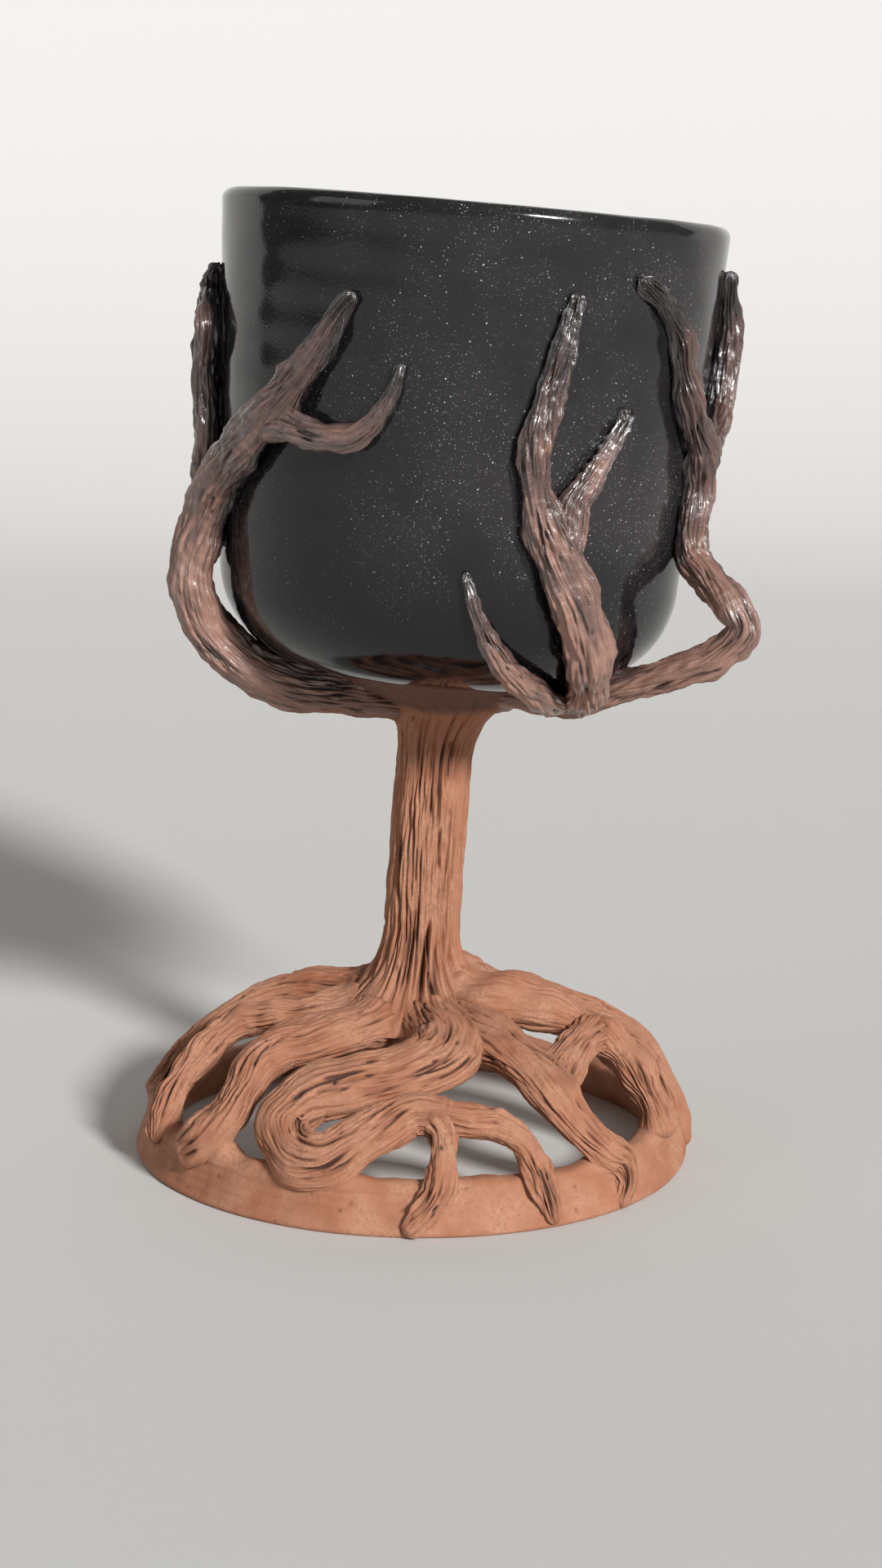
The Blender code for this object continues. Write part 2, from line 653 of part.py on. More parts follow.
class Chalice:
    """The pieces in the order they are joined, each cut to seat on those before it."""

    def __init__(self):
        """Clears the scene and sets up the collections and the two frames."""
        for item in list(bpy.data.objects):
            bpy.data.objects.remove(item)
        self.parts = bpy.data.collections.new("tree_chalice")
        self.cutters = bpy.data.collections.new("seat_cutters")
        for collection in (self.parts, self.cutters):
            bpy.context.scene.collection.children.link(collection)
        self.stand = bpy.data.objects.new("stand", None)
        self.cup_seat = bpy.data.objects.new("cup_seat", None)
        self.cup_seat.parent = self.stand
        self.cup_seat.location = Vector((CUP_OFFSET, 0, CUP_FLOOR_HEIGHT)) * MM
        self.cup_seat.rotation_euler = (0, math.radians(CUP_TILT), 0)
        for empty in (self.stand, self.cup_seat):
            self.parts.objects.link(empty)
        self.joined = []

    def join(self, name, frame, mesh, grown, finish):
        """Adds a piece, cut by every earlier piece it would reach into, and its own grown cutter."""
        part = bpy.data.objects.new(name, mesh)
        self.parts.objects.link(part)
        part.parent = frame
        cutter = bpy.data.objects.new(name + "_seat", grown)
        self.cutters.objects.link(cutter)
        cutter.parent = frame
        cutter.hide_render = True
        cutter.display_type = "WIRE"
        bpy.context.view_layer.update()
        for other in self.joined:
            if boxes_meet(part, other):
                cut = part.modifiers.new("seat_on_" + other.name, "BOOLEAN")
                cut.operation = "DIFFERENCE"
                cut.solver = "EXACT"
                cut.object = other
        if part.modifiers:
            part.data = solid_of(part, name)
            part.modifiers.clear()
            bpy.data.meshes.remove(mesh)
            largest_body(part.data)
        self.joined.append(cutter)
        part.data.materials.clear()
        part.data.materials.append(fired_material(name, finish))
        part.data.shade_smooth()
        part.data.set_sharp_from_angle(angle=math.radians(SHARP_ANGLE))

    def join_turned(self, name, frame, outline, block, finish, closed):
        """Adds a turned piece with the turned block that its neighbours seat on."""
        mesh = turned_mesh(name, outline, closed)
        self.join(name, frame, mesh, turned_mesh(name + "_seat", block, closed), finish)

    def join_lofts(self, group, frame, locate, sides, spacing, finish):
        """Adds a group of limbs or roots, each lofted through its own places."""
        for name, places in group.items():
            mesh = mesh_of_rings(name, loft_rings(places, locate, sides, spacing, 0.0))
            grown = mesh_of_rings(name + "_seat", loft_rings(places, locate, sides, spacing, SEAT_GAP))
            self.join(name, frame, mesh, grown, finish)

    def centre(self):
        """Moves the whole so that the middle of its bounding box stands over the origin."""
        bpy.context.view_layer.update()
        corners = [
            item.matrix_world @ vert.co
            for item in self.parts.objects
            if item.type == "MESH"
            for vert in item.data.vertices
        ]
        for axis in (0, 1):
            values = [corner[axis] for corner in corners]
            self.stand.location[axis] = -(min(values) + max(values)) / 2
        bpy.context.view_layer.update()


def boxes_meet(part, other):
    """Whether the bounding boxes of two objects meet."""
    boxes = []
    for item in (part, other):
        points = np.array([item.matrix_world @ Vector(corner) for corner in item.bound_box])
        boxes.append((points.min(axis=0), points.max(axis=0)))
    (low, high), (other_low, other_high) = boxes
    return bool((low <= other_high).all() and (other_low <= high).all())


def main():
    """Builds the chalice from the cup and the ring inwards to the finest twigs and runners."""
    chalice = Chalice()
    chalice.join_turned(
        "cup_bowl", chalice.cup_seat, cup_outline(), cup_block_outline(SEAT_GAP), BLACK_GLAZE, False
    )
    chalice.join_turned(
        "foot_ring", chalice.stand, ring_outline(0.0), ring_outline(SEAT_GAP), BARE_CLAY, True
    )
    trunk = mesh_of_rings("trunk", trunk_rings(0.0))
    chalice.join("trunk", chalice.stand, trunk, mesh_of_rings("trunk_seat", trunk_rings(SEAT_GAP)), BARE_CLAY)
    chalice.join_lofts(LIMBS, chalice.cup_seat, on_cup, LIMB_SIDES, RING_SPACING, GLAZED_CLAY)
    chalice.join_lofts(TWIGS, chalice.cup_seat, on_cup, TWIG_SIDES, TWIG_SPACING, GLAZED_CLAY)
    chalice.join_lofts(ROOTS, chalice.stand, on_dome, LIMB_SIDES, RING_SPACING, BARE_CLAY)
    chalice.join_lofts(RUNNERS, chalice.stand, on_dome, TWIG_SIDES, TWIG_SPACING, BARE_CLAY)
    chalice.centre()


if __name__ == "__main__":
    main()
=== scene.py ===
"""Dresses the tree chalice: carved clay limbs, trunk, roots and foot ring, and a black speckled cup.

Every piece is laid out in millimetres from the middle of the foot ring's underside, along much the same
places as its solid, and replaces that solid with the carved and glazed surface of the real piece.
"""

from __future__ import annotations

import logging
import math
from dataclasses import dataclass, replace
from enum import Enum
from typing import Callable, ClassVar, Iterable, NamedTuple, Protocol, Union

import bpy
import numpy as np
from mathutils import Matrix
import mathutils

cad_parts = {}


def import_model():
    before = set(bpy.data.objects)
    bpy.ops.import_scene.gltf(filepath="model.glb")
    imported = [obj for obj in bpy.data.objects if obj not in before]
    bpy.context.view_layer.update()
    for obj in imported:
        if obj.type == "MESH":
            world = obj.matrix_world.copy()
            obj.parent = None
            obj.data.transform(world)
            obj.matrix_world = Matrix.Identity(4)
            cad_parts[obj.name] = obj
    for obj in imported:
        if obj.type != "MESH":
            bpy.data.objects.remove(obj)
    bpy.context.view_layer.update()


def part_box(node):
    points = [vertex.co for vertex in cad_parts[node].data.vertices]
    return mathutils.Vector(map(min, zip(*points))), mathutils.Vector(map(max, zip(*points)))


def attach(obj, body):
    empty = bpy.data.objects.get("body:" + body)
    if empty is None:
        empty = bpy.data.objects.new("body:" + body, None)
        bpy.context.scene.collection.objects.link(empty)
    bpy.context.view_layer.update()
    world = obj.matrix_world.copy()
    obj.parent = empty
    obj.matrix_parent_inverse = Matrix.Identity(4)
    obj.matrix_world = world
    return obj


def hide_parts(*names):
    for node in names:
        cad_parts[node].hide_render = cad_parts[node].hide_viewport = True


LOG = logging.getLogger("tree_chalice")
MM = 0.001
BODY = "root"
FULL_TURN = 2 * math.pi
TINY = 1e-9

# How smooth lines, waves, lumps, fibres and joins of the clay are drawn.
FEWEST_STEPS = 3
WAVES = 4
WAVE_SCALE = 2.4
LUMP_WAVES = 7
LUMP_SCALE = 3.2
LUMP_LENGTHS = (0.7, 1.4)
FIBRE_BLUR = 5.0
JOIN_RISE = 0.25
SEAM_WIDTH = 0.7
# darkness in the crease of a join: partly staining, partly painted shade
SEAM_STAIN_AND_SHADE = 0.6

Span = tuple[float, float]
Vector = tuple[float, float, float]
Colour = tuple[float, float, float, float]
Socket = bpy.types.NodeSocket
Feed = Union[Socket, float, Vector, Colour]


class Finish(Enum):
    """Fired finishes, each given a material of its own."""

    BLACK_GLAZE = "black_glaze"
    BARE_CLAY = "bare_clay"
    GLAZED_CLAY = "glazed_clay"


class OnCup(NamedTuple):
    """A place on the cup's outside.

    bearing: degrees from the front, positive to the right
    wrap: 0 at the middle of the floor, 1 at the floor's edge, 2 where the wall starts, 3 at the rim
    standoff: from the cup's surface out to the centre line
    width, thickness: the section along the surface and away from it
    """

    bearing: float
    wrap: float
    standoff: float
    width: float
    thickness: float


class OnDome(NamedTuple):
    """A place on the root dome.

    bearing: degrees from the front, positive to the right
    reach: 0 at the ring's axis, 1 at the ring's outer radius
    rise: -1 at the ground, 0 at the top of the ring, 1 at the top of the dome
    width, thickness: the section along the dome and away from it
    """

    bearing: float
    reach: float
    rise: float
    width: float
    thickness: float


Place = Union[OnCup, OnDome]

LIMBS: dict[str, list[OnCup]] = {
    "left_limb": [
        OnCup(-80, 0.15, 6.0, 9.6, 9.0),
        OnCup(-76, 0.7, 5.6, 10.0, 9.2),
        OnCup(-75, 1.12, 4.6, 10.4, 9.4),
        OnCup(-75, 1.46, 5.0, 10.6, 9.4),
        OnCup(-75, 1.71, 6.2, 10.6, 9.2),
        OnCup(-74, 1.92, 6.4, 10.2, 8.6),
        OnCup(-73, 2.087, 4.4, 9.8, 8.2),
        OnCup(-67, 2.213, 3.0, 9.4, 7.8),
        OnCup(-56, 2.324, 2.8, 9.0, 7.4),
        OnCup(-47, 2.407, 2.7, 8.0, 6.8),
        OnCup(-39.5, 2.494, 2.5, 7.0, 6.0),
        OnCup(-33, 2.6, 2.0, 6.0, 5.2),
        OnCup(-26.5, 2.726, 1.2, 3.6, 3.4),
    ],
    "right_limb": [
        OnCup(60, 0.10, 3.2, 9.0, 8.0),
        OnCup(62, 0.65, 2.4, 8.6, 7.2),
        OnCup(64, 1.08, 2.1, 8.0, 6.6),
        OnCup(65, 1.46, 3.5, 7.4, 6.4),
        OnCup(65, 1.69, 8.8, 7.2, 6.6),
        OnCup(65, 1.83, 14.2, 7.2, 6.6),
        OnCup(65, 1.94, 16.6, 7.4, 6.8),
        OnCup(65, 2.00, 14.4, 7.4, 6.8),
        OnCup(66, 2.058, 9.2, 7.2, 6.6),
        OnCup(68, 2.116, 4.2, 7.2, 6.6),
        OnCup(69, 2.223, 2.8, 7.2, 6.4),
        OnCup(70, 2.319, 2.8, 7.4, 6.2),
        OnCup(67, 2.407, 2.7, 6.6, 6.0),
        OnCup(59, 2.513, 2.4, 6.0, 5.4),
        OnCup(54, 2.62, 2.1, 5.2, 4.8),
        OnCup(52, 2.697, 1.8, 4.8, 4.4),
        OnCup(46, 2.774, 1.3, 3.8, 3.6),
        OnCup(39, 2.832, 0.8, 2.8, 2.8),
    ],
    "front_limb": [
        OnCup(57, 1.16, 2.0, 6.2, 5.6),
        OnCup(47, 1.36, 3.0, 7.6, 7.0),
        OnCup(38.5, 1.58, 3.4, 8.6, 7.6),
        OnCup(33.5, 1.79, 3.2, 9.0, 7.4),
        OnCup(29, 2.00, 3.0, 8.8, 7.0),
        OnCup(24, 2.106, 2.8, 8.6, 6.6),
        OnCup(19.5, 2.203, 2.5, 7.6, 6.0),
        OnCup(17, 2.3, 2.2, 6.6, 5.4),
        OnCup(16.5, 2.407, 2.0, 5.8, 4.8),
        OnCup(18, 2.523, 1.8, 5.2, 4.4),
        OnCup(20.5, 2.649, 1.4, 4.4, 3.8),
        OnCup(22, 2.765, 0.9, 2.8, 2.8),
    ],
    "rear_limb": [
        OnCup(-165, 0.15, 6.5, 9.0, 8.5),
        OnCup(-164, 0.70, 5.4, 9.0, 8.5),
        OnCup(-163, 1.20, 4.2, 9.0, 8.2),
        OnCup(-162, 1.60, 3.8, 9.0, 8.0),
        OnCup(-158, 1.95, 3.4, 8.8, 7.6),
        OnCup(-151, 2.116, 3.0, 8.2, 7.0),
        OnCup(-147, 2.271, 2.8, 7.2, 6.4),
        OnCup(-150, 2.426, 2.4, 6.0, 5.4),
        OnCup(-156, 2.561, 1.9, 4.8, 4.4),
        OnCup(-158, 2.716, 1.1, 2.8, 2.8),
    ],
    "rear_right_limb": [
        OnCup(135, 0.15, 7.0, 8.6, 8.2),
        OnCup(136, 0.70, 5.4, 8.6, 8.2),
        OnCup(138, 1.20, 4.0, 8.4, 7.8),
        OnCup(137, 1.60, 4.0, 8.2, 7.6),
        OnCup(133, 1.92, 3.4, 8.0, 7.2),
        OnCup(128, 2.097, 3.0, 7.6, 6.8),
        OnCup(130, 2.271, 2.6, 6.8, 6.0),
        OnCup(137, 2.426, 2.2, 5.8, 5.2),
        OnCup(140, 2.581, 1.7, 4.4, 4.0),
        OnCup(136, 2.755, 0.9, 2.6, 2.6),
    ],
    "left_rear_limb": [
        OnCup(-75, 2.05, 3.2, 6.0, 5.6),
        OnCup(-81, 2.14, 2.6, 6.4, 5.8),
        OnCup(-87, 2.26, 2.2, 6.2, 5.2),
        OnCup(-92, 2.38, 2.5, 6.0, 5.4),
        OnCup(-95, 2.50, 3.1, 5.8, 5.6),
        OnCup(-95, 2.60, 3.4, 5.6, 5.6),
        OnCup(-92, 2.70, 2.8, 4.6, 4.8),
        OnCup(-87, 2.775, 1.4, 2.6, 2.8),
    ],
}

TWIGS: dict[str, list[OnCup]] = {
    "front_sprout": [
        OnCup(50, 1.12, 2.6, 4.4, 4.6),
        OnCup(36, 1.27, 2.8, 5.4, 5.0),
        OnCup(24, 1.45, 2.6, 5.4, 4.8),
        OnCup(14, 1.64, 2.2, 4.6, 4.2),
        OnCup(8, 1.85, 1.6, 3.4, 3.2),
        OnCup(4, 2.039, 0.9, 2.2, 2.2),
    ],
    "front_limb_twig": [
        OnCup(24, 2.106, 2.6, 4.6, 4.6),
        OnCup(26, 2.174, 2.4, 6.0, 5.2),
        OnCup(26, 2.252, 2.2, 5.6, 4.8),
        OnCup(30, 2.329, 2.0, 4.8, 4.2),
        OnCup(34, 2.407, 1.6, 3.8, 3.4),
        OnCup(38, 2.484, 1.0, 2.4, 2.4),
    ],
    "left_limb_twig": [
        OnCup(-47, 2.387, 2.6, 4.6, 4.8),
        OnCup(-40, 2.397, 2.5, 5.6, 5.2),
        OnCup(-30, 2.378, 2.3, 5.2, 4.8),
        OnCup(-23, 2.387, 2.0, 4.6, 4.2),
        OnCup(-18, 2.445, 1.6, 3.8, 3.4),
        OnCup(-15, 2.513, 1.2, 2.8, 2.8),
        OnCup(-14, 2.561, 0.8, 2.0, 2.2),
    ],
    "left_rear_twig": [
        OnCup(-86, 2.242, 2.8, 4.6, 4.4),
        OnCup(-82, 2.34, 2.6, 4.8, 4.4),
        OnCup(-84, 2.44, 3.0, 5.0, 4.6),
        OnCup(-83, 2.53, 3.2, 4.6, 4.4),
        OnCup(-78, 2.62, 3.0, 4.6, 4.4),
        OnCup(-81, 2.68, 2.8, 3.8, 3.6),
        OnCup(-87, 2.735, 2.8, 2.4, 2.4),
    ],
    "right_limb_twig": [
        OnCup(67, 2.368, 2.6, 4.6, 4.6),
        OnCup(74, 2.426, 2.6, 6.0, 5.4),
        OnCup(83, 2.503, 2.8, 6.2, 5.6),
        OnCup(86, 2.62, 2.8, 6.0, 5.6),
        OnCup(86, 2.736, 2.4, 5.0, 4.8),
        OnCup(82, 2.857, 1.4, 2.8, 2.8),
    ],
    "rear_limb_twig": [
        OnCup(-152, 2.097, 2.6, 5.0, 5.0),
        OnCup(-162, 2.194, 2.5, 6.0, 5.4),
        OnCup(-171, 2.31, 2.2, 5.2, 4.8),
        OnCup(-176, 2.445, 1.7, 4.0, 3.8),
        OnCup(-179, 2.581, 1.0, 2.4, 2.4),
    ],
    "rear_right_twig": [
        OnCup(128, 2.077, 2.6, 4.8, 4.8),
        OnCup(120, 2.174, 2.4, 5.6, 5.0),
        OnCup(113, 2.29, 2.1, 4.8, 4.4),
        OnCup(110, 2.426, 1.7, 3.8, 3.6),
        OnCup(112, 2.561, 1.0, 2.4, 2.4),
    ],
}

ROOTS: dict[str, list[OnDome]] = {
    "front_root": [
        OnDome(10, 0.1, 0.84, 9.0, 9.0),
        OnDome(12, 0.26, 0.82, 11.5, 9.0),
        OnDome(14, 0.43, 0.78, 13.0, 8.8),
        OnDome(6, 0.58, 0.73, 13.6, 8.4),
        OnDome(-6, 0.655, 0.67, 13.4, 8.2),
        OnDome(-18, 0.71, 0.61, 12.8, 8.0),
        OnDome(-27, 0.785, 0.49, 12.2, 7.8),
        OnDome(-30, 0.86, 0.33, 11.4, 7.6),
        OnDome(-25, 0.92, 0.17, 10.6, 7.4),
        OnDome(-18, 0.93, 0.15, 10.2, 7.2),
        OnDome(-12, 0.89, 0.26, 9.8, 7.2),
        OnDome(-6, 0.84, 0.38, 9.0, 7.0),
        OnDome(0, 0.795, 0.47, 8.2, 6.8),
        OnDome(7, 0.8, 0.46, 6.8, 6.2),
    ],
    "left_root": [
        OnDome(-60, 0.09, 0.84, 11.0, 9.0),
        OnDome(-47, 0.22, 0.80, 13.0, 9.0),
        OnDome(-42, 0.37, 0.78, 13.4, 8.4),
        OnDome(-45, 0.51, 0.75, 12.4, 8.0),
        OnDome(-50, 0.61, 0.69, 11.2, 7.8),
        OnDome(-50, 0.70, 0.60, 10.4, 7.6),
        OnDome(-47, 0.79, 0.46, 9.6, 7.4),
        OnDome(-45.5, 0.87, 0.29, 9.0, 7.2),
        OnDome(-48, 0.93, 0.11, 8.6, 6.8),
        OnDome(-53, 0.955, -0.05, 7.2, 5.8),
    ],
    "right_front_root": [
        OnDome(36, 0.09, 0.84, 10.6, 9.4),
        OnDome(37.5, 0.25, 0.81, 12.0, 9.4),
        OnDome(37, 0.44, 0.77, 11.8, 9.0),
        OnDome(36, 0.58, 0.72, 10.8, 8.6),
        OnDome(36.5, 0.695, 0.62, 9.8, 8.0),
        OnDome(38.5, 0.79, 0.46, 8.6, 7.2),
        OnDome(41, 0.87, 0.28, 7.6, 6.6),
        OnDome(45, 0.925, 0.11, 6.4, 5.9),
        OnDome(49, 0.965, -0.08, 5.2, 4.8),
        OnDome(49, 0.99, -0.45, 3.6, 3.2),
        OnDome(47, 1.0, -0.78, 2.0, 2.0),
    ],
    "right_root": [
        OnDome(72, 0.09, 0.98, 12.0, 9.5),
        OnDome(70, 0.26, 0.97, 14.5, 9.8),
        OnDome(72, 0.42, 0.94, 14.0, 9.6),
        OnDome(76, 0.54, 0.84, 11.6, 8.8),
        OnDome(77, 0.65, 0.72, 9.8, 8.2),
        OnDome(75.5, 0.745, 0.58, 9.0, 7.8),
        OnDome(73, 0.825, 0.42, 8.4, 7.4),
        OnDome(71, 0.89, 0.24, 8.0, 7.2),
        OnDome(69, 0.94, 0.02, 7.6, 6.6),
    ],
    "rear_right_root": [
        OnDome(122, 0.09, 0.98, 9.0, 8.5),
        OnDome(119, 0.26, 0.90, 9.0, 8.0),
        OnDome(113, 0.48, 0.79, 8.4, 7.5),
        OnDome(107, 0.66, 0.65, 8.0, 7.2),
        OnDome(102, 0.78, 0.49, 7.8, 7.0),
        OnDome(96, 0.87, 0.31, 7.6, 6.8),
        OnDome(90, 0.935, 0.08, 7.2, 6.2),
        OnDome(86, 0.97, -0.2, 5.8, 4.8),
        OnDome(84, 0.985, -0.55, 3.6, 3.2),
    ],
    "rear_left_root": [
        OnDome(-125, 0.09, 0.92, 9.0, 8.5),
        OnDome(-120, 0.22, 0.91, 9.0, 8.0),
        OnDome(-117, 0.38, 0.87, 8.6, 7.5),
        OnDome(-112, 0.55, 0.77, 8.0, 7.0),
        OnDome(-106, 0.68, 0.61, 7.6, 6.8),
        OnDome(-100, 0.8, 0.38, 7.4, 6.6),
        OnDome(-95, 0.89, 0.15, 7.4, 6.4),
        OnDome(-93, 0.935, -0.03, 7.0, 5.8),
    ],
    "rear_root": [
        OnDome(176, 0.09, 1.06, 9.5, 9.0),
        OnDome(175, 0.25, 0.98, 9.8, 8.5),
        OnDome(170, 0.44, 0.88, 9.2, 8.0),
        OnDome(163, 0.60, 0.76, 8.8, 7.6),
        OnDome(158, 0.74, 0.57, 8.4, 7.4),
        OnDome(157, 0.85, 0.34, 8.0, 7.0),
        OnDome(159, 0.935, 0.04, 7.6, 6.6),
    ],
}

RUNNERS: dict[str, list[OnDome]] = {
    "left_root_branch": [
        OnDome(-88, 0.14, 0.84, 8.0, 6.4),
        OnDome(-80, 0.28, 0.84, 9.0, 6.4),
        OnDome(-77, 0.42, 0.82, 8.8, 6.2),
        OnDome(-79, 0.54, 0.78, 7.6, 6.0),
        OnDome(-81, 0.635, 0.72, 6.6, 6.0),
        OnDome(-78, 0.715, 0.63, 6.2, 6.0),
        OnDome(-73, 0.80, 0.49, 6.0, 6.0),
        OnDome(-70, 0.885, 0.28, 5.8, 6.0),
        OnDome(-68, 0.94, 0.05, 5.8, 5.6),
        OnDome(-66, 0.97, -0.16, 5.2, 4.6),
    ],
    "front_root_leg": [
        OnDome(4, 0.80, 0.46, 5.0, 5.0),
        OnDome(7, 0.85, 0.36, 5.6, 5.4),
        OnDome(7, 0.92, 0.15, 5.4, 5.0),
        OnDome(6, 0.965, -0.10, 5.0, 4.4),
        OnDome(4, 0.985, -0.42, 4.0, 3.4),
        OnDome(1, 1.00, -0.76, 2.4, 2.4),
    ],
    "front_root_spur": [
        OnDome(5, 0.80, 0.46, 5.0, 5.0),
        OnDome(13, 0.825, 0.41, 6.0, 5.6),
        OnDome(20, 0.84, 0.37, 5.8, 5.4),
        OnDome(25, 0.88, 0.27, 5.4, 5.0),
        OnDome(27, 0.935, 0.09, 5.0, 4.6),
        OnDome(28, 0.975, -0.22, 4.0, 3.6),
        OnDome(29, 1.00, -0.70, 2.4, 2.4),
    ],
    "root_bridge": [
        OnDome(39, 0.765, 0.52, 7.6, 6.4),
        OnDome(45, 0.715, 0.61, 8.6, 6.8),
        OnDome(54, 0.675, 0.68, 8.2, 6.6),
        OnDome(64, 0.655, 0.73, 7.8, 6.4),
        OnDome(75, 0.66, 0.73, 7.0, 6.0),
    ],
    "rear_root_runner": [
        OnDome(172, 0.44, 0.88, 6.0, 6.0),
        OnDome(-176, 0.56, 0.78, 7.0, 6.6),
        OnDome(-165, 0.70, 0.62, 6.8, 6.4),
        OnDome(-157, 0.82, 0.40, 6.4, 6.2),
        OnDome(-154, 0.91, 0.14, 6.2, 5.8),
        OnDome(-154, 0.945, -0.03, 5.8, 5.2),
    ],
}


class Form(Protocol):
    """A plain shape that its neighbours blend into."""

    def distance(self, points: np.ndarray) -> np.ndarray:
        """Signed distance of points from the shape's surface, negative inside."""


def outward(bearing: float) -> np.ndarray:
    """Unit vector that points from an upright axis towards a bearing in degrees."""
    angle = math.radians(bearing)
    return np.array([math.sin(angle), -math.cos(angle), 0.0])


def upward(height: float) -> np.ndarray:
    """Upright vector of a height."""
    return np.array([0.0, 0.0, height])


def unit(vectors: np.ndarray) -> np.ndarray:
    """The vectors of an array at length one."""
    return vectors / np.maximum(np.linalg.norm(vectors, axis=-1, keepdims=True), TINY)


def lengths_along(points: np.ndarray) -> np.ndarray:
    """Distance of each point from the first, along the line through them."""
    legs = np.linalg.norm(np.diff(points, axis=0), axis=1)
    return np.concatenate([[0.0], np.cumsum(legs)])


def smooth_through(rows: np.ndarray, spacing: float) -> np.ndarray:
    """Reads a smooth curve through rows of values at even steps.

    Args:
        rows: values to pass through, one row per place, of which the first three are a point
        spacing: distance between the steps along the curve

    Returns:
        Rows of the same kind, evenly spaced.
    """
    legs = np.linalg.norm(np.diff(rows[:, :3], axis=0), axis=1)
    along = lengths_along(rows[:, :3])
    slopes = np.gradient(rows, along, axis=0)
    at = np.linspace(0, along[-1], max(FEWEST_STEPS, round(along[-1] / spacing)) + 1)
    leg = np.clip(np.searchsorted(along, at, side="right") - 1, 0, len(legs) - 1)
    t = ((at - along[leg]) / legs[leg])[:, None]
    span = legs[leg][:, None]
    return (
        (2 * t**3 - 3 * t**2 + 1) * rows[leg]
        + (t**3 - 2 * t**2 + t) * span * slopes[leg]
        + (3 * t**2 - 2 * t**3) * rows[leg + 1]
        + (t**3 - t**2) * span * slopes[leg + 1]
    )


def wave(along: np.ndarray, rng: np.random.Generator, shortest: float, longest: float) -> np.ndarray:
    """Smooth random wave along a line.

    Args:
        along: positions along the line
        rng: seeded random numbers
        shortest: shortest wavelength
        longest: longest wavelength

    Returns:
        Values of about -1 to 1 at the positions.
    """
    total = np.zeros_like(along)
    for _ in range(WAVES):
        length = rng.uniform(shortest, longest)
        total += np.sin(FULL_TURN * (along / length + rng.random()))
    return total / WAVE_SCALE


def ripple(points: np.ndarray, length: float, rng: np.random.Generator) -> np.ndarray:
    """Smooth random lumps in space.

    Args:
        points: where to read them
        length: typical size of a lump
        rng: seeded random numbers

    Returns:
        Values of about -1 to 1 at the points.
    """
    total = np.zeros(points.shape[:-1])
    for _ in range(LUMP_WAVES):
        direction = unit(rng.normal(size=3))
        crest = length * rng.uniform(*LUMP_LENGTHS)
        total += np.sin(FULL_TURN * (points @ direction / crest + rng.random()))
    return total / LUMP_SCALE


def fibre(shape: tuple[int, int], along: float, around: float, rng: np.random.Generator) -> np.ndarray:
    """Random fibrous texture that closes round a piece.

    Args:
        shape: rows along the piece and columns round it
        along: length of a fibre in rows
        around: width of a fibre in columns
        rng: seeded random numbers

    Returns:
        Values with a mean of zero and a spread of one.
    """
    rows, columns = np.fft.fftfreq(shape[0])[:, None], np.fft.rfftfreq(shape[1])[None]
    blur = np.exp(-((rows * along) ** 2 + (columns * around) ** 2) * FIBRE_BLUR)
    field = np.fft.irfft2(np.fft.rfft2(rng.normal(size=shape)) * blur, s=shape)
    return field / field.std()


@dataclass(frozen=True)
class CupShape:
    """The thrown cup, standing on the trunk's crown and leaning a little to the right."""

    offset: float = 4.1
    floor_height: float = 97.9
    tilt: float = 3.3
    floor_radius: float = 25.0
    corner_radius: float = 20.0
    waist_radius: float = 45.0
    rim_radius: float = 48.7
    height: float = 89.2
    wall: float = 4.2
    floor: float = 5.0

    @property
    def turn(self) -> np.ndarray:
        """Rotation from the cup's frame to the ring's."""
        return np.array(Matrix.Rotation(math.radians(self.tilt), 3, "Y"))

    @property
    def foot(self) -> np.ndarray:
        """Middle of the cup's floor in the ring's frame."""
        return np.array([self.offset, 0.0, self.floor_height])

    @property
    def wall_height(self) -> float:
        """Height of the straight wall above the rounded corner."""
        return self.height - self.corner_radius

    @property
    def flare(self) -> float:
        """How far the straight wall leans out on its way up."""
        return self.rim_radius - self.waist_radius

    def placed(self, points: np.ndarray) -> np.ndarray:
        """Points of the cup's frame in the ring's frame."""
        return points @ self.turn.T + self.foot

    def profile(self, wrap: float) -> tuple[float, float, Span]:
        """Reads the cup's outside.

        Args:
            wrap: how far up the outside, as on a place on the cup

        Returns:
            Radius, height and outward normal (radial, up).
        """
        if wrap < 1:
            return self.floor_radius * wrap, 0.0, (0.0, -1.0)
        if wrap < 2:
            turn = math.radians(90 * (wrap - 1))
            normal = (math.sin(turn), -math.cos(turn))
            radius = self.floor_radius + (self.waist_radius - self.floor_radius) * normal[0]
            return radius, self.corner_radius * (1 + normal[1]), normal
        slant = math.hypot(self.wall_height, self.flare)
        climb = wrap - 2
        normal = (self.wall_height / slant, -self.flare / slant)
        return self.waist_radius + self.flare * climb, self.corner_radius + self.wall_height * climb, normal

    def locate(self, place: OnCup) -> tuple[np.ndarray, np.ndarray]:
        """Finds a place on the cup.

        Args:
            place: the place

        Returns:
            Its centre and the surface's normal there, in the ring's frame.
        """
        radius, height, (radial, up) = self.profile(place.wrap)
        out = outward(place.bearing)
        normal = out * radial + upward(up)
        centre = out * radius + upward(height) + normal * place.standoff
        return self.placed(centre), self.turn @ normal

    def distance(self, points: np.ndarray) -> np.ndarray:
        """Measures from the cup's outside, with the cup taken as a filled block.

        Args:
            points: points in the ring's frame

        Returns:
            Signed distance of each point, negative inside.
        """
        local = (points - self.foot) @ self.turn
        radius = np.hypot(local[:, 0], local[:, 1])
        climb = local[:, 2] - self.corner_radius
        wall = radius - self.waist_radius - self.flare / self.wall_height * climb
        corner = np.hypot(np.maximum(radius - self.floor_radius, 0), climb) - self.corner_radius
        return np.where(climb > 0, wall, corner)


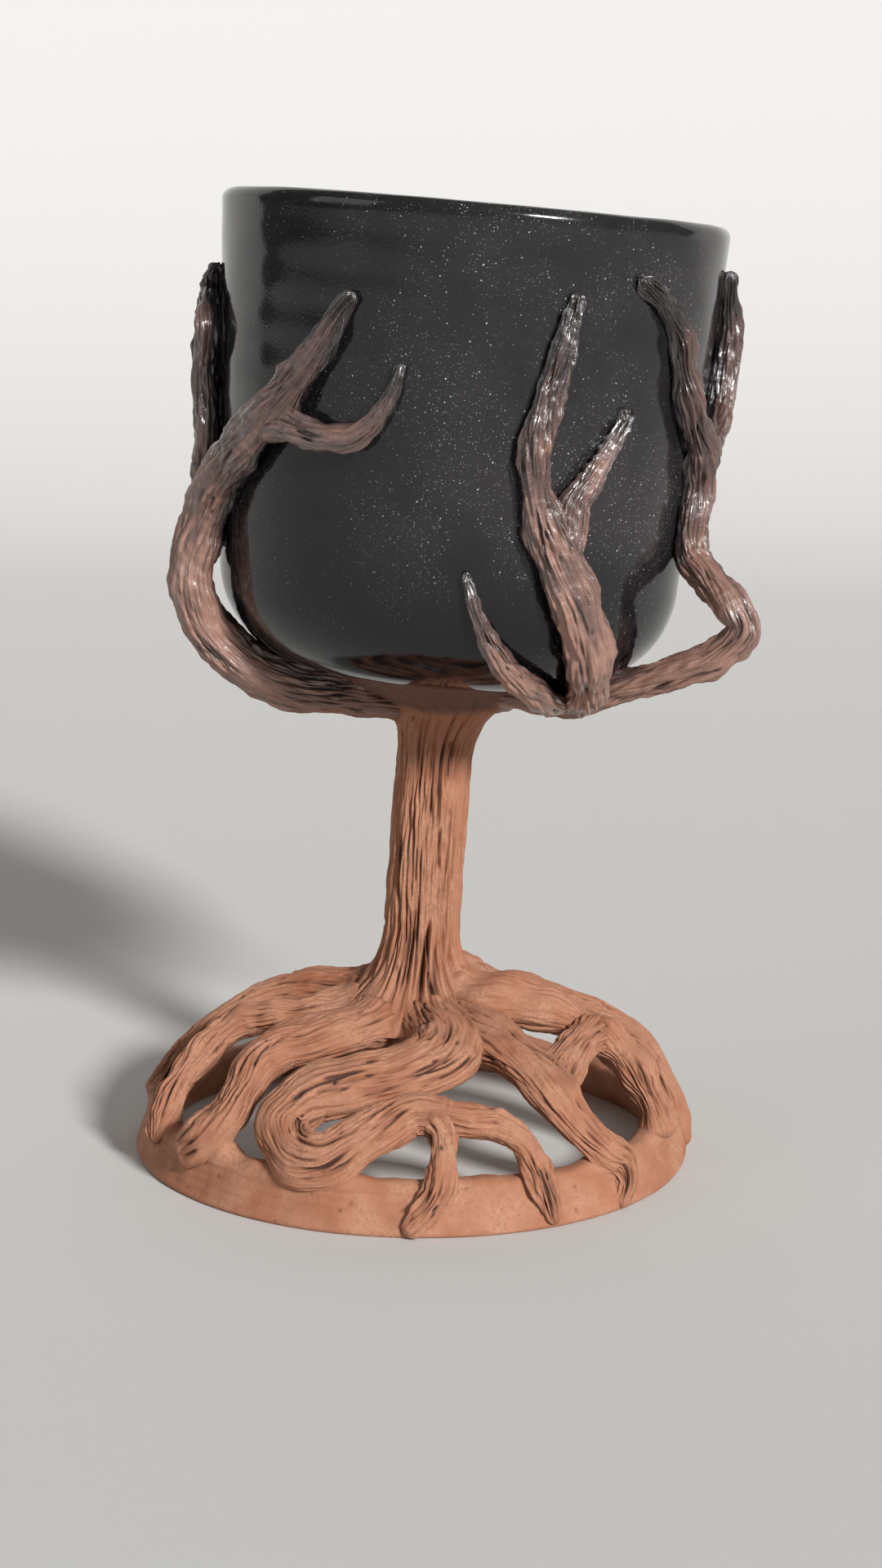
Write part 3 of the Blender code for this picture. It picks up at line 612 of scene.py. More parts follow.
@dataclass(frozen=True)
class RingShape:
    """The foot ring, leaning in towards its round crest, and the dome of roots that stands on it."""

    radius: float = 56.0
    height: float = 9.5
    wall: float = 5.2
    lean: float = 2.6
    edge: float = 0.8
    crest: float = 2.2
    dome_height: float = 33.0
    dome_offset: float = 2.0

    def locate(self, place: OnDome) -> tuple[np.ndarray, np.ndarray]:
        """Finds a place on the root dome.

        Args:
            place: the place

        Returns:
            Its centre and the dome's normal there, in the ring's frame.
        """
        if place.rise < 0:
            height = self.height * (1 + place.rise)
        else:
            height = self.height + (self.dome_height - self.height) * place.rise
        radius = self.radius * place.reach
        out = outward(place.bearing)
        centre = out * radius + np.array([self.dome_offset * (1 - place.reach), 0.0, height])
        steep = max(height - self.height, 0) / self.dome_height**2
        return centre, unit(out * radius / self.radius**2 + upward(steep))

    def outline(self, steps: int) -> np.ndarray:
        """Draws the ring's section, round at the crest and flat below.

        Args:
            steps: steps round each corner

        Returns:
            Closed outline of (radius, height).
        """
        top = self.radius - self.lean
        corners = [
            (top - self.crest, self.height - self.crest, self.crest, 90),
            (self.radius - self.edge, self.edge, self.edge, 0),
            (self.radius - self.wall + self.edge, self.edge, self.edge, -90),
            (top - self.wall + self.crest, self.height - self.crest, self.crest, -180),
        ]
        points = []
        for radius, height, edge, start in corners:
            for step in range(steps + 1):
                turn = math.radians(start - 90 * step / steps)
                points.append((radius + edge * math.cos(turn), height + edge * math.sin(turn)))
        return np.array(points)

    def distance(self, points: np.ndarray) -> np.ndarray:
        """Measures from the ring, taken as a band with a rounded section.

        Args:
            points: points in the ring's frame

        Returns:
            Signed distance of each point, negative inside.
        """
        middle = self.radius - self.lean * np.clip(points[:, 2] / self.height, 0, 1) - self.wall / 2
        across = np.abs(np.hypot(points[:, 0], points[:, 1]) - middle) - self.wall / 2 + self.crest
        up = np.abs(points[:, 2] - self.height / 2) - self.height / 2 + self.crest
        beyond = np.hypot(np.maximum(across, 0), np.maximum(up, 0))
        return beyond + np.minimum(np.maximum(across, up), 0) - self.crest


class Sweep:
    """A limb, root or trunk: elliptical sections along a smooth line, closed by a rounded tip."""

    CAP_STEPS = 10
    TIP_REACH = 1.7
    LONGEST_TIP = 2.2
    TIP_ROUNDNESS = 1.15
    START_SHARES = (0.0, 0.6)
    THINNEST = 1.0
    COARSE = 1.6
    CHUNK = 4000
    LEAST_SHARE = 1e-3

    def __init__(self, name: str, rows: np.ndarray, spacing: float, level: bool = False) -> None:
        """Lays the sections out.

        Args:
            name: the piece's name
            rows: one row per place with its centre, surface normal, width and thickness
            spacing: distance between sections
            level: whether all sections lie level instead of square to the line
        """
        fine = smooth_through(rows, spacing)
        self.name = name
        self.spacing = spacing
        self.centres = fine[:, :3]
        self.heading = unit(np.gradient(self.centres, axis=0))
        if level:
            self.heading = np.tile(upward(1.0), (len(fine), 1))
        aside = np.sum(fine[:, 3:6] * self.heading, axis=1, keepdims=True)
        self.away = unit(fine[:, 3:6] - self.heading * aside)
        self.across = np.cross(self.heading, self.away)
        self.half = np.maximum(fine[:, 6:8], self.THINNEST) / 2
        self.along = lengths_along(self.centres)

    def distance(self, points: np.ndarray) -> np.ndarray:
        """Measures from the plain sections, truly only close to the surface.

        Args:
            points: points in the ring's frame

        Returns:
            Signed distance of each point, negative inside.
        """
        stride = max(1, round(self.COARSE / self.spacing))
        centres, half = self.centres[::stride], self.half[::stride]
        heading, across, away = self.heading[::stride], self.across[::stride], self.away[::stride]
        found = []
        for chunk in np.array_split(points, max(1, len(points) // self.CHUNK)):
            gaps = chunk[:, None] - centres[None]
            near = np.argmin((gaps**2).sum(axis=-1), axis=1)
            gap = gaps[np.arange(len(chunk)), near]
            x = (gap * across[near]).sum(axis=1)
            y = (gap * away[near]).sum(axis=1)
            ahead = np.abs((gap * heading[near]).sum(axis=1)) - self.COARSE
            share = np.maximum(np.hypot(x / half[near, 0], y / half[near, 1]), self.LEAST_SHARE)
            side = np.hypot(x, y) * (1 - 1 / share)
            past = np.maximum(ahead, 0)
            found.append(np.where(past > 0, np.hypot(np.maximum(side, 0), past), side))
        return np.concatenate(found)

    def capped(self) -> tuple[np.ndarray, ...]:
        """Draws both ends in to a point.

        Returns:
            Centres, two axes, half sizes, lengths and bark strength of all sections.
        """
        turn = np.linspace(0, math.pi / 2, self.CAP_STEPS + 1)[1:]
        reach = min(self.half[-1].min() * self.TIP_REACH, self.LONGEST_TIP)
        beyond = reach * np.sin(turn)
        narrow = np.maximum(np.cos(turn), 0) ** self.TIP_ROUNDNESS
        starts = np.array(self.START_SHARES)

        def drawn(rows: np.ndarray) -> np.ndarray:
            """Rows with the first and last repeated for the ends."""
            return np.concatenate([rows[[0, 0]], rows, np.repeat(rows[-1:], self.CAP_STEPS, 0)])

        centres = drawn(self.centres)
        centres[-self.CAP_STEPS :] = self.centres[-1] + self.heading[-1] * beyond[:, None]
        strength = np.concatenate([starts, np.ones(len(self.along)), narrow])
        half = drawn(self.half) * strength[:, None]
        along = np.concatenate([[0.0, 0.0], self.along, self.along[-1] + beyond])
        return centres, drawn(self.across), drawn(self.away), half, along, strength


class Sections(NamedTuple):
    """Where the points of a piece lie.

    along: position of each section along the piece
    turn: angle of each point round a section
    girth: mean radius of each section
    """

    along: np.ndarray
    turn: np.ndarray
    girth: np.ndarray

    def arc(self, centre: np.ndarray) -> np.ndarray:
        """Distance round each section from its centre angle to each point, a row per section."""
        return ((self.turn[None] - centre[:, None] + math.pi) % FULL_TURN - math.pi) * self.girth[:, None]


@dataclass(frozen=True)
class Cuts:
    """One kind of cut drawn along a piece with a pointed tool.

    spacing: distance between cuts, across the piece
    depth, width: depth and half width of a cut
    shortest, longest: range of the cuts' lengths
    slant: how far a cut may stray aside, as a share of its length
    """

    FORCES: ClassVar[Span] = (0.4, 1.15)
    WIDTHS: ClassVar[Span] = (0.7, 1.4)
    FEWEST_SECTIONS: ClassVar[int] = 4
    TAPER: ClassVar[float] = 3.0
    SHARPNESS: ClassVar[float] = 0.8
    BURR_PLACE: ClassVar[float] = 1.3
    BURR_WIDTH: ClassVar[float] = 0.5
    UNCUT: ClassVar[float] = 0.05

    spacing: float
    depth: float
    width: float
    shortest: float
    longest: float
    slant: float

    def draw(
        self, lay: Sections, flow: np.ndarray, rng: np.random.Generator, stretch: float
    ) -> tuple[np.ndarray, np.ndarray]:
        """Draws the cuts over a piece.

        Args:
            lay: where the piece's points lie
            flow: angle by which the clay's run has turned at each section
            rng: seeded random numbers
            stretch: length of the piece, from its start, in which the cuts have their middles

        Returns:
            Share of the full depth, and height of the clay pushed up beside the cuts, a row per section.
        """
        valleys = np.zeros((len(lay.along), len(lay.turn)))
        burrs = np.zeros_like(valleys)
        typical = (self.shortest + self.longest) / 2
        round_it = FULL_TURN * lay.girth[lay.along <= stretch].mean()
        for _ in range(int(round_it / self.spacing * stretch / typical)):
            length = rng.uniform(self.shortest, self.longest)
            middle, angle = rng.uniform(0, stretch), rng.uniform(0, FULL_TURN)
            stray, force = rng.uniform(-self.slant, self.slant), rng.uniform(*self.FORCES)
            width = self.width * rng.uniform(*self.WIDTHS)
            first, last = np.searchsorted(lay.along, (middle - length / 2, middle + length / 2))
            if last - first < self.FEWEST_SECTIONS:
                continue
            part = Sections(lay.along[first:last], lay.turn, lay.girth[first:last])
            at = part.along - middle
            bite = (force * np.clip((1 - np.abs(at) * 2 / length) * self.TAPER, 0, 1))[:, None]
            arc = np.abs(part.arc(angle + flow[first:last] + stray * at / part.girth))
            valley = bite * np.clip(1 - arc / width, 0, 1) ** self.SHARPNESS
            burr = bite * np.exp(-(((arc - self.BURR_PLACE * width) / (self.BURR_WIDTH * width)) ** 2))
            valleys[first:last] = np.maximum(valleys[first:last], valley)
            burrs[first:last] = np.maximum(burrs[first:last], burr)
        return valleys, burrs * (valleys < self.UNCUT)


@dataclass(frozen=True)
class Carving:
    """Bark as it is worked by hand: soft strands along the piece, gouges and scratches in them, and nicks.

    gouges, scratches, splay: deep cuts, fine cuts, and cuts that spread at the piece's start
    strand, strand_depth: width of the soft strands and depth of the valleys between them
    wander, twist: how far the clay's run strays aside and how fast it turns round the piece
    lump, knob, swell: height of broad lumps and small knobs, and how much the whole piece swells
    patch, patch_length: how much the carving's depth changes from patch to patch, and a patch's size
    calm_side, calm_start, calm_end: how smooth one side is left, and lengths of smoother ends
    """

    # Darkness in the valleys, cuts, nicks and rough grain is partly rubbed-in staining and partly painted
    # shade where the recesses would fall dark.
    STRAND_STAIN_AND_SHADE: ClassVar[float] = 0.34
    SCRATCH_STAIN_AND_SHADE: ClassVar[float] = 0.5
    ROUGH_STAIN_AND_SHADE: ClassVar[float] = 0.10
    BURR_HEIGHT: ClassVar[float] = 0.16
    TWIST_LENGTH: ClassVar[float] = 10.0
    WANDER_LENGTHS: ClassVar[Span] = (25.0, 80.0)
    SWAY_LENGTHS: ClassVar[Span] = (12.0, 50.0)
    FADE_LENGTHS: ClassVar[Span] = (12.0, 45.0)
    FEWEST_STRANDS: ClassVar[int] = 5
    STRAND_JITTER: ClassVar[float] = 0.42
    STRAND_SWAY: ClassVar[float] = 0.3
    STRAND_FORCES: ClassVar[Span] = (0.4, 1.15)
    STRAND_FADE: ClassVar[Span] = (0.6, 0.7)
    DEEPEST_STRAND: ClassVar[float] = 1.2
    STRAND_WIDTHS: ClassVar[Span] = (0.25, 0.45)
    STRAND_SHARPNESS: ClassVar[float] = 1.4
    NICK_LENGTHS: ClassVar[Span] = (0.4, 1.3)
    NICK_WIDTHS: ClassVar[Span] = (0.2, 0.4)
    NICK_FORCES: ClassVar[Span] = (0.7, 1.4)
    FIBRE_LENGTH: ClassVar[float] = 2.8
    FIBRE_WIDTH: ClassVar[float] = 0.28
    CALM_SHARE: ClassVar[float] = 0.9
    CALM_ANGLE: ClassVar[float] = 0.35
    LEAST_CARVING: ClassVar[float] = 0.25

    gouges: Cuts
    scratches: Cuts
    splay: Cuts | None = None
    splay_reach: float = 19.0
    strand: float = 2.5
    strand_depth: float = 0.35
    wander: float = 1.1
    twist: float = 0.25
    nicks_per_mm: float = 0.25
    roughness: float = 0.10
    lump: float = 0.35
    lump_length: float = 13.0
    knob: float = 0.06
    knob_length: float = 2.6
    swell: float = 0.05
    patch: float = 0.6
    patch_length: float = 11.0
    calm_side: float = 0.0
    calm_start: float = 0.0
    calm_end: float = 0.0

    def calm(self, lay: Sections) -> np.ndarray:
        """Finds where the maker left a side or an end smoother.

        Args:
            lay: where the piece's points lie

        Returns:
            Share of the carving that is kept, a row per section.
        """
        facing = np.clip(self.CALM_SHARE * np.cos(lay.turn + self.CALM_ANGLE), 0, 1)
        kept = 1 - self.calm_side * facing[None]
        for gap, stretch in ((lay.along, self.calm_start), (lay.along[-1] - lay.along, self.calm_end)):
            if stretch:
                kept = kept * np.clip(gap / stretch, self.LEAST_CARVING, 1)[:, None]
        return kept

    def strands(self, lay: Sections, flow: np.ndarray, rng: np.random.Generator) -> np.ndarray:
        """Draws the soft valleys between the strands.

        Args:
            lay: where the piece's points lie
            flow: angle by which the clay's run has turned at each section
            rng: seeded random numbers

        Returns:
            Depth of the valleys, of 0 to about 1, a row per section.
        """
        layer = np.zeros((len(lay.along), len(lay.turn)))
        mean_fade, fade_range = self.STRAND_FADE
        count = max(self.FEWEST_STRANDS, int(FULL_TURN * lay.girth.mean() / self.strand))
        for line in range(count):
            jitter = rng.uniform(-self.STRAND_JITTER, self.STRAND_JITTER)
            centre = flow + FULL_TURN * (line + jitter) / count
            sway = wave(lay.along, rng, *self.SWAY_LENGTHS)
            centre = centre + self.STRAND_SWAY * self.strand * sway / lay.girth
            force = rng.uniform(*self.STRAND_FORCES)
            fade = mean_fade + fade_range * wave(lay.along, rng, *self.FADE_LENGTHS)
            reach = force * np.clip(fade, 0, self.DEEPEST_STRAND)
            width = self.strand * rng.uniform(*self.STRAND_WIDTHS)
            valley = np.exp(-np.abs(lay.arc(centre) / width) ** self.STRAND_SHARPNESS)
            layer = np.maximum(layer, reach[:, None] * valley)
        return layer

    def cut(self, lay: Sections, rng: np.random.Generator) -> tuple[np.ndarray, np.ndarray]:
        """Carves a piece.

        Args:
            lay: where the piece's points lie
            rng: seeded random numbers

        Returns:
            Depths in millimetres, and darkness of 0 to 1 that is partly rubbed-in staining and partly painted
            shade in the recesses, a row per section.
        """
        mean, end = float(lay.girth.mean()), lay.along[-1]
        flow = self.twist * lay.along / mean / self.TWIST_LENGTH
        flow = flow + self.wander * wave(lay.along, rng, *self.WANDER_LENGTHS) / mean
        soft = self.strands(lay, flow, rng)
        depth = self.strand_depth * soft
        # painted shade, with some staining, in the soft valleys between the strands
        dark = self.STRAND_STAIN_AND_SHADE * soft
        kinds = [(self.gouges, 1.0, end), (self.scratches, self.SCRATCH_STAIN_AND_SHADE, end)]
        if self.splay:
            kinds.append((self.splay, 1.0, self.splay_reach))
        for cuts, stain_and_shade, stretch in kinds:
            valleys, burrs = cuts.draw(lay, flow, rng, stretch)
            depth = depth + cuts.depth * (valleys - self.BURR_HEIGHT * burrs)
            dark = np.maximum(dark, stain_and_shade * valleys)
        for _ in range(int(self.nicks_per_mm * end)):
            middle, angle = rng.uniform(0, end), rng.uniform(0, FULL_TURN)
            length, width = rng.uniform(*self.NICK_LENGTHS), rng.uniform(*self.NICK_WIDTHS)
            arc = lay.arc(np.full(len(lay.along), angle))
            nick = np.exp(-(((lay.along - middle) / length) ** 2))[:, None] * np.exp(-((arc / width) ** 2))
            depth = np.maximum(depth, self.gouges.depth * rng.uniform(*self.NICK_FORCES) * nick)
            dark = np.maximum(dark, nick)
        step = float(np.median(np.diff(lay.along)))
        columns = self.FIBRE_WIDTH * len(lay.turn) / (FULL_TURN * mean)
        rough = fibre(depth.shape, self.FIBRE_LENGTH / step, columns, rng)
        keep = self.calm(lay)
        return (depth + self.roughness * rough) * keep, np.clip(dark * keep + self.ROUGH_STAIN_AND_SHADE * rough, 0, 1)


class Blend(NamedTuple):
    """A neighbouring form and the reach of the clay that is smoothed over the join."""

    form: Form
    reach: float


def blend_all(forms: Iterable[Form], reach: float) -> tuple[Blend, ...]:
    """Joins of one reach to several forms."""
    return tuple(Blend(form, reach) for form in forms)


def join_up(points: np.ndarray, blends: Iterable[Blend]) -> tuple[np.ndarray, np.ndarray]:
    """Smooths clay into the corners between a surface and its neighbours.

    Args:
        points: points of the surface
        blends: the neighbours

    Returns:
        Height to add along the surface's normal at each point, and how dark the seam is there, of 0 to 1:
        partly staining, partly painted shade in the crease.
    """
    lift, seam = np.zeros(len(points)), np.zeros(len(points))
    for blend in blends:
        gap = np.abs(blend.form.distance(points))
        near = np.clip(1 - gap / blend.reach, 0, 1)
        lift = np.maximum(lift, JOIN_RISE * blend.reach * near**2)
        seam = np.maximum(seam, np.exp(-((gap / SEAM_WIDTH) ** 2)))
    return lift, seam


def open_up(piece: bpy.types.Object) -> None:
    """Opens one piece's mesh for work on all of its points.

    Args:
        piece: the object
    """
    bpy.ops.object.select_all(action="DESELECT")
    bpy.context.view_layer.objects.active = piece
    piece.select_set(True)
    bpy.ops.object.mode_set(mode="EDIT")
    bpy.ops.mesh.select_all(action="SELECT")


def weld(gap: float) -> None:
    """Welds the points of the open mesh, turns its faces out and closes it.

    Args:
        gap: distance within which points become one
    """
    bpy.ops.mesh.select_all(action="SELECT")
    bpy.ops.mesh.remove_doubles(threshold=gap)
    bpy.ops.mesh.normals_make_consistent(inside=False)
    bpy.ops.object.mode_set(mode="OBJECT")


class Workbench:
    """Turns laid-out points into finished pieces on the frame."""

    WELD = 1e-7

    def __init__(self, finishes: dict[Finish, bpy.types.Material]) -> None:
        """Reads where the foot ring stands.

        Args:
            finishes: the material of each finish
        """
        low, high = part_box("foot_ring")
        self.middle = np.array([(low[0] + high[0]) / 2, (low[1] + high[1]) / 2, 0.0])
        self.finishes = finishes

    def world(self, points: np.ndarray) -> np.ndarray:
        """Points in millimetres from the ring's middle, in metres in the frame."""
        return points * MM + self.middle

    def wrap_grid(
        self, name: str, points: np.ndarray, layout: np.ndarray, layers: dict[str, np.ndarray]
    ) -> bpy.types.Object:
        """Bends a grid round a piece's points.

        Args:
            name: the piece's name
            points: points in millimetres, a row per section, whose last column repeats the first
            layout: texture position of each point, in tenths of a metre
            layers: values to store on the points, by name, laid out as the points are

        Returns:
            The new object, with its seam and ends still to be closed.
        """
        rows, columns = points.shape[:2]
        bpy.ops.object.select_all(action="DESELECT")
        bpy.ops.mesh.primitive_grid_add(x_subdivisions=rows - 1, y_subdivisions=columns - 1, size=2)
        piece = bpy.context.object
        piece.name = piece.data.name = name
        mesh = piece.data
        flat = np.empty(len(mesh.vertices) * 3)
        mesh.vertices.foreach_get("co", flat)
        flat = flat.reshape(-1, 3)
        row = np.rint((flat[:, 0] + 1) / 2 * (rows - 1)).astype(int)
        column = np.rint((flat[:, 1] + 1) / 2 * (columns - 1)).astype(int)
        mesh.vertices.foreach_set("co", self.world(points[row, column]).ravel())
        corner = np.empty(len(mesh.loops), int)
        mesh.loops.foreach_get("vertex_index", corner)
        mesh.uv_layers[0].data.foreach_set("uv", layout[row[corner], column[corner]].ravel())
        for key, values in layers.items():
            self.attach(piece, key, values[row, column])
        return piece

    @staticmethod
    def attach(piece: bpy.types.Object, name: str, values: np.ndarray) -> None:
        """Stores a value per vertex on a piece."""
        layer = piece.data.attributes.new(name, "FLOAT", "POINT")
        layer.data.foreach_set("value", values)

    def close(self, piece: bpy.types.Object, finish: Finish, nodes: Iterable[str]) -> None:
        """Welds a piece, turns its faces out, sets its finish, hides the solids it stands for and hangs it on
        the body.

        Args:
            piece: the object to finish
            finish: its fired finish
            nodes: names of the solids it stands for
        """
        open_up(piece)
        weld(self.WELD)
        bpy.ops.object.shade_smooth()
        piece.data.materials.clear()
        piece.data.materials.append(self.finishes[finish])
        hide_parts(*nodes)
        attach(piece, BODY)
        LOG.info("%s: %d faces", piece.name, len(piece.data.polygons))


@dataclass(frozen=True)
class BarkPiece:
    """A swept piece with its carving, its neighbours and its finish.

    POINT_SPACING, FEWEST_COLUMNS: distance between the points round a section, and how few there may be
    SWELL_LENGTHS: range of the lengths over which the piece swells
    WORKED: least and most of the carving's depth from patch to patch
    JOIN_STRIDES: every how many sections, and points round them, the joins are worked out
    BARE_REACH, BARE_EDGE: how the clay is left bare round the trunk
    CROWN_DROP, CROWN_FADE: where glaze starts below the cup's floor on bare clay, and how fast it thickens
    TOUCH, CLIMB, TIP: where glaze starts by the cup, with height and before the tip, and how fast it
    thickens; by the cup it is partly painted contact shade
    GLAZE_SHARES: how much those three count
    """

    POINT_SPACING: ClassVar[float] = 0.17
    FEWEST_COLUMNS: ClassVar[int] = 24
    LEAST_SECTION: ClassVar[float] = 0.01
    LEAST_HALF: ClassVar[float] = 1e-6
    SWELL_LENGTHS: ClassVar[Span] = (14.0, 45.0)
    WORKED: ClassVar[Span] = (0.25, 1.45)
    JOIN_STRIDES: ClassVar[tuple[int, int]] = (2, 4)
    GROUND_GAP: ClassVar[float] = 0.1
    LAYOUT_SCALE: ClassVar[float] = 100.0
    BARE_REACH: ClassVar[float] = 8.0
    BARE_EDGE: ClassVar[float] = 1.1
    CROWN_DROP: ClassVar[float] = 9.5
    CROWN_FADE: ClassVar[float] = 4.5
    TOUCH_REACH: ClassVar[float] = 3.8
    TOUCH_FADE: ClassVar[float] = 3.0
    CLIMB_START: ClassVar[float] = 6.0
    CLIMB_FADE: ClassVar[float] = 55.0
    TIP_START: ClassVar[float] = 0.72
    TIP_FADE: ClassVar[float] = 0.28
    TIP_CURVE: ClassVar[float] = 1.5
    GLAZE_SHARES: ClassVar[Vector] = (0.62, 0.42, 0.45)

    sweep: Sweep
    carving: Carving
    blends: tuple[Blend, ...]
    finish: Finish
    seed: int

    def build(self, bench: Workbench, cup: CupShape, trunk: Sweep) -> None:
        """Builds the carved surface and dresses it.

        Args:
            bench: the workbench
            cup: the cup, whose glaze runs on to pieces that touch it, along with painted contact shade
            trunk: the trunk, round which the clay is left bare
        """
        rng = np.random.default_rng(self.seed)
        centres, across, away, half, along, strength = self.sweep.capped()
        girth = np.sqrt(np.maximum(half[:, 0] * half[:, 1], self.LEAST_SECTION))
        round_it = FULL_TURN * float(self.sweep.half.mean())
        turn = np.linspace(0, FULL_TURN, max(self.FEWEST_COLUMNS, int(round_it / self.POINT_SPACING)) + 1)
        swell = 1 + self.carving.swell * wave(along, rng, *self.SWELL_LENGTHS)[:, None, None]
        cos, sin = np.cos(turn)[None, :, None], np.sin(turn)[None, :, None]
        x, y = half[:, 0, None, None] * swell, half[:, 1, None, None] * swell
        plain = centres[:, None] + across[:, None] * cos * x + away[:, None] * sin * y
        lean_x, lean_y = np.maximum(x, self.LEAST_HALF), np.maximum(y, self.LEAST_HALF)
        out = unit(across[:, None] * cos * lean_y + away[:, None] * sin * lean_x)
        lift, seam = self.joins(plain)
        lumps = self.carving.lump * ripple(plain, self.carving.lump_length, rng)
        lumps = lumps + self.carving.knob * ripple(plain, self.carving.knob_length, rng)
        patches = ripple(plain, self.carving.patch_length, rng)
        worked = np.clip(1.0 + self.carving.patch * patches, *self.WORKED)
        depth, dark = self.carving.cut(Sections(along, turn[:-1], girth), rng)
        depth = np.concatenate([depth, depth[:, :1]], axis=1) * worked
        dark = np.concatenate([dark, dark[:, :1]], axis=1) * worked
        # painted shade, with some staining, in the creases where the piece meets its neighbours
        dark = np.maximum(dark, SEAM_STAIN_AND_SHADE * seam)
        rise = (lift + lumps - depth) * strength[:, None]
        points = plain + out * rise[..., None]
        points[..., 2] = np.maximum(points[..., 2], self.GROUND_GAP)
        points[:, -1] = points[:, 0]
        layout = np.stack(np.broadcast_arrays(along[:, None], turn[None] * girth.mean()), axis=-1)
        gap = trunk.distance(points.reshape(-1, 3)).reshape(points.shape[:2])
        bare = np.clip(self.BARE_EDGE - gap / self.BARE_REACH, 0, 1)
        layers = {"cavity": dark, "glaze": self.glaze(points, along, cup), "bare": bare}
        piece = bench.wrap_grid(self.sweep.name + "_bark", points, layout / self.LAYOUT_SCALE, layers)
        bench.close(piece, self.finish, [self.sweep.name])

    def joins(self, plain: np.ndarray) -> list[np.ndarray]:
        """Works the joins out on every few points and reads them in between.

        Args:
            plain: points of the plain surface, a row per section

        Returns:
            Height and darkness of the clay at the joins, a row per section.
        """
        rows, columns = plain.shape[:2]
        row, column = (
            np.unique(np.append(np.arange(0, count, stride), count - 1))
            for count, stride in zip((rows, columns), self.JOIN_STRIDES)
        )
        found = []
        for coarse in join_up(plain[np.ix_(row, column)].reshape(-1, 3), self.blends):
            lines = coarse.reshape(len(row), len(column))
            wide = np.array([np.interp(np.arange(columns), column, line) for line in lines])
            found.append(np.array([np.interp(np.arange(rows), row, line) for line in wide.T]).T)
        return found

    def glaze(self, points: np.ndarray, along: np.ndarray, cup: CupShape) -> np.ndarray:
        """Lays the glaze on, with painted contact shade by the cup: more by the cup, up the limb and towards
        the tip, or on the crown of bare clay.

        Args:
            points: points of the piece, a row per section
            along: position of each section along the piece
            cup: the cup

        Returns:
            How thickly each point is covered, or shaded by the cup, of 0 to 1.
        """
        above = points[..., 2] - cup.floor_height
        if self.finish is Finish.BARE_CLAY:
            return np.clip((above + self.CROWN_DROP) / self.CROWN_FADE, 0, 1)
        gap = cup.distance(points.reshape(-1, 3)).reshape(points.shape[:2])
        # painted contact shade, with glaze that pools, where the piece lies close to the cup
        touch = np.clip((self.TOUCH_REACH - gap) / self.TOUCH_FADE, 0, 1)
        climb = np.clip((above - self.CLIMB_START) / self.CLIMB_FADE, 0, 1)
        end = np.clip((along - along[-1] * self.TIP_START) / (along[-1] * self.TIP_FADE), 0, 1)[:, None]
        by_cup, by_height, by_tip = self.GLAZE_SHARES
        return np.clip(by_cup * touch + by_height * climb + by_tip * end**self.TIP_CURVE, 0, 1)


@dataclass(frozen=True)
class TurnedPiece:
    """Base of the two thrown pieces: an outline spun round the axis on the wheel."""

    WELD: ClassVar[float] = 1e-4

    steps: int = 360

    def spin(self, name: str, outline: np.ndarray, closed: bool) -> bpy.types.Object:
        """Spins an outline of (radius, height) round the upright axis.

        Args:
            name: the piece's name
            outline: points of the outline
            closed: whether the outline runs back to its start

        Returns:
            The spun object, in millimetres about its own axis.
        """
        count = len(outline)
        mesh = bpy.data.meshes.new(name)
        edges = [(at, (at + 1) % count) for at in range(count if closed else count - 1)]
        mesh.from_pydata([(radius, 0.0, height) for radius, height in outline], edges, [])
        piece = bpy.data.objects.new(name, mesh)
        bpy.context.scene.collection.objects.link(piece)
        open_up(piece)
        bpy.ops.mesh.spin(steps=self.steps, angle=FULL_TURN, center=(0, 0, 0), axis=(0, 0, 1))
        weld(self.WELD)
        return piece

    @staticmethod
    def read(piece: bpy.types.Object) -> tuple[np.ndarray, np.ndarray, np.ndarray]:
        """Reads a spun piece.

        Args:
            piece: the object

        Returns:
            Points, normals, and the angle of each point round the axis.
        """
        count = len(piece.data.vertices)
        points, normals = np.empty(count * 3), np.empty(count * 3)
        piece.data.vertices.foreach_get("co", points)
        piece.data.vertices.foreach_get("normal", normals)
        points = points.reshape(-1, 3)
        return points, normals.reshape(-1, 3), np.arctan2(points[:, 1], points[:, 0])


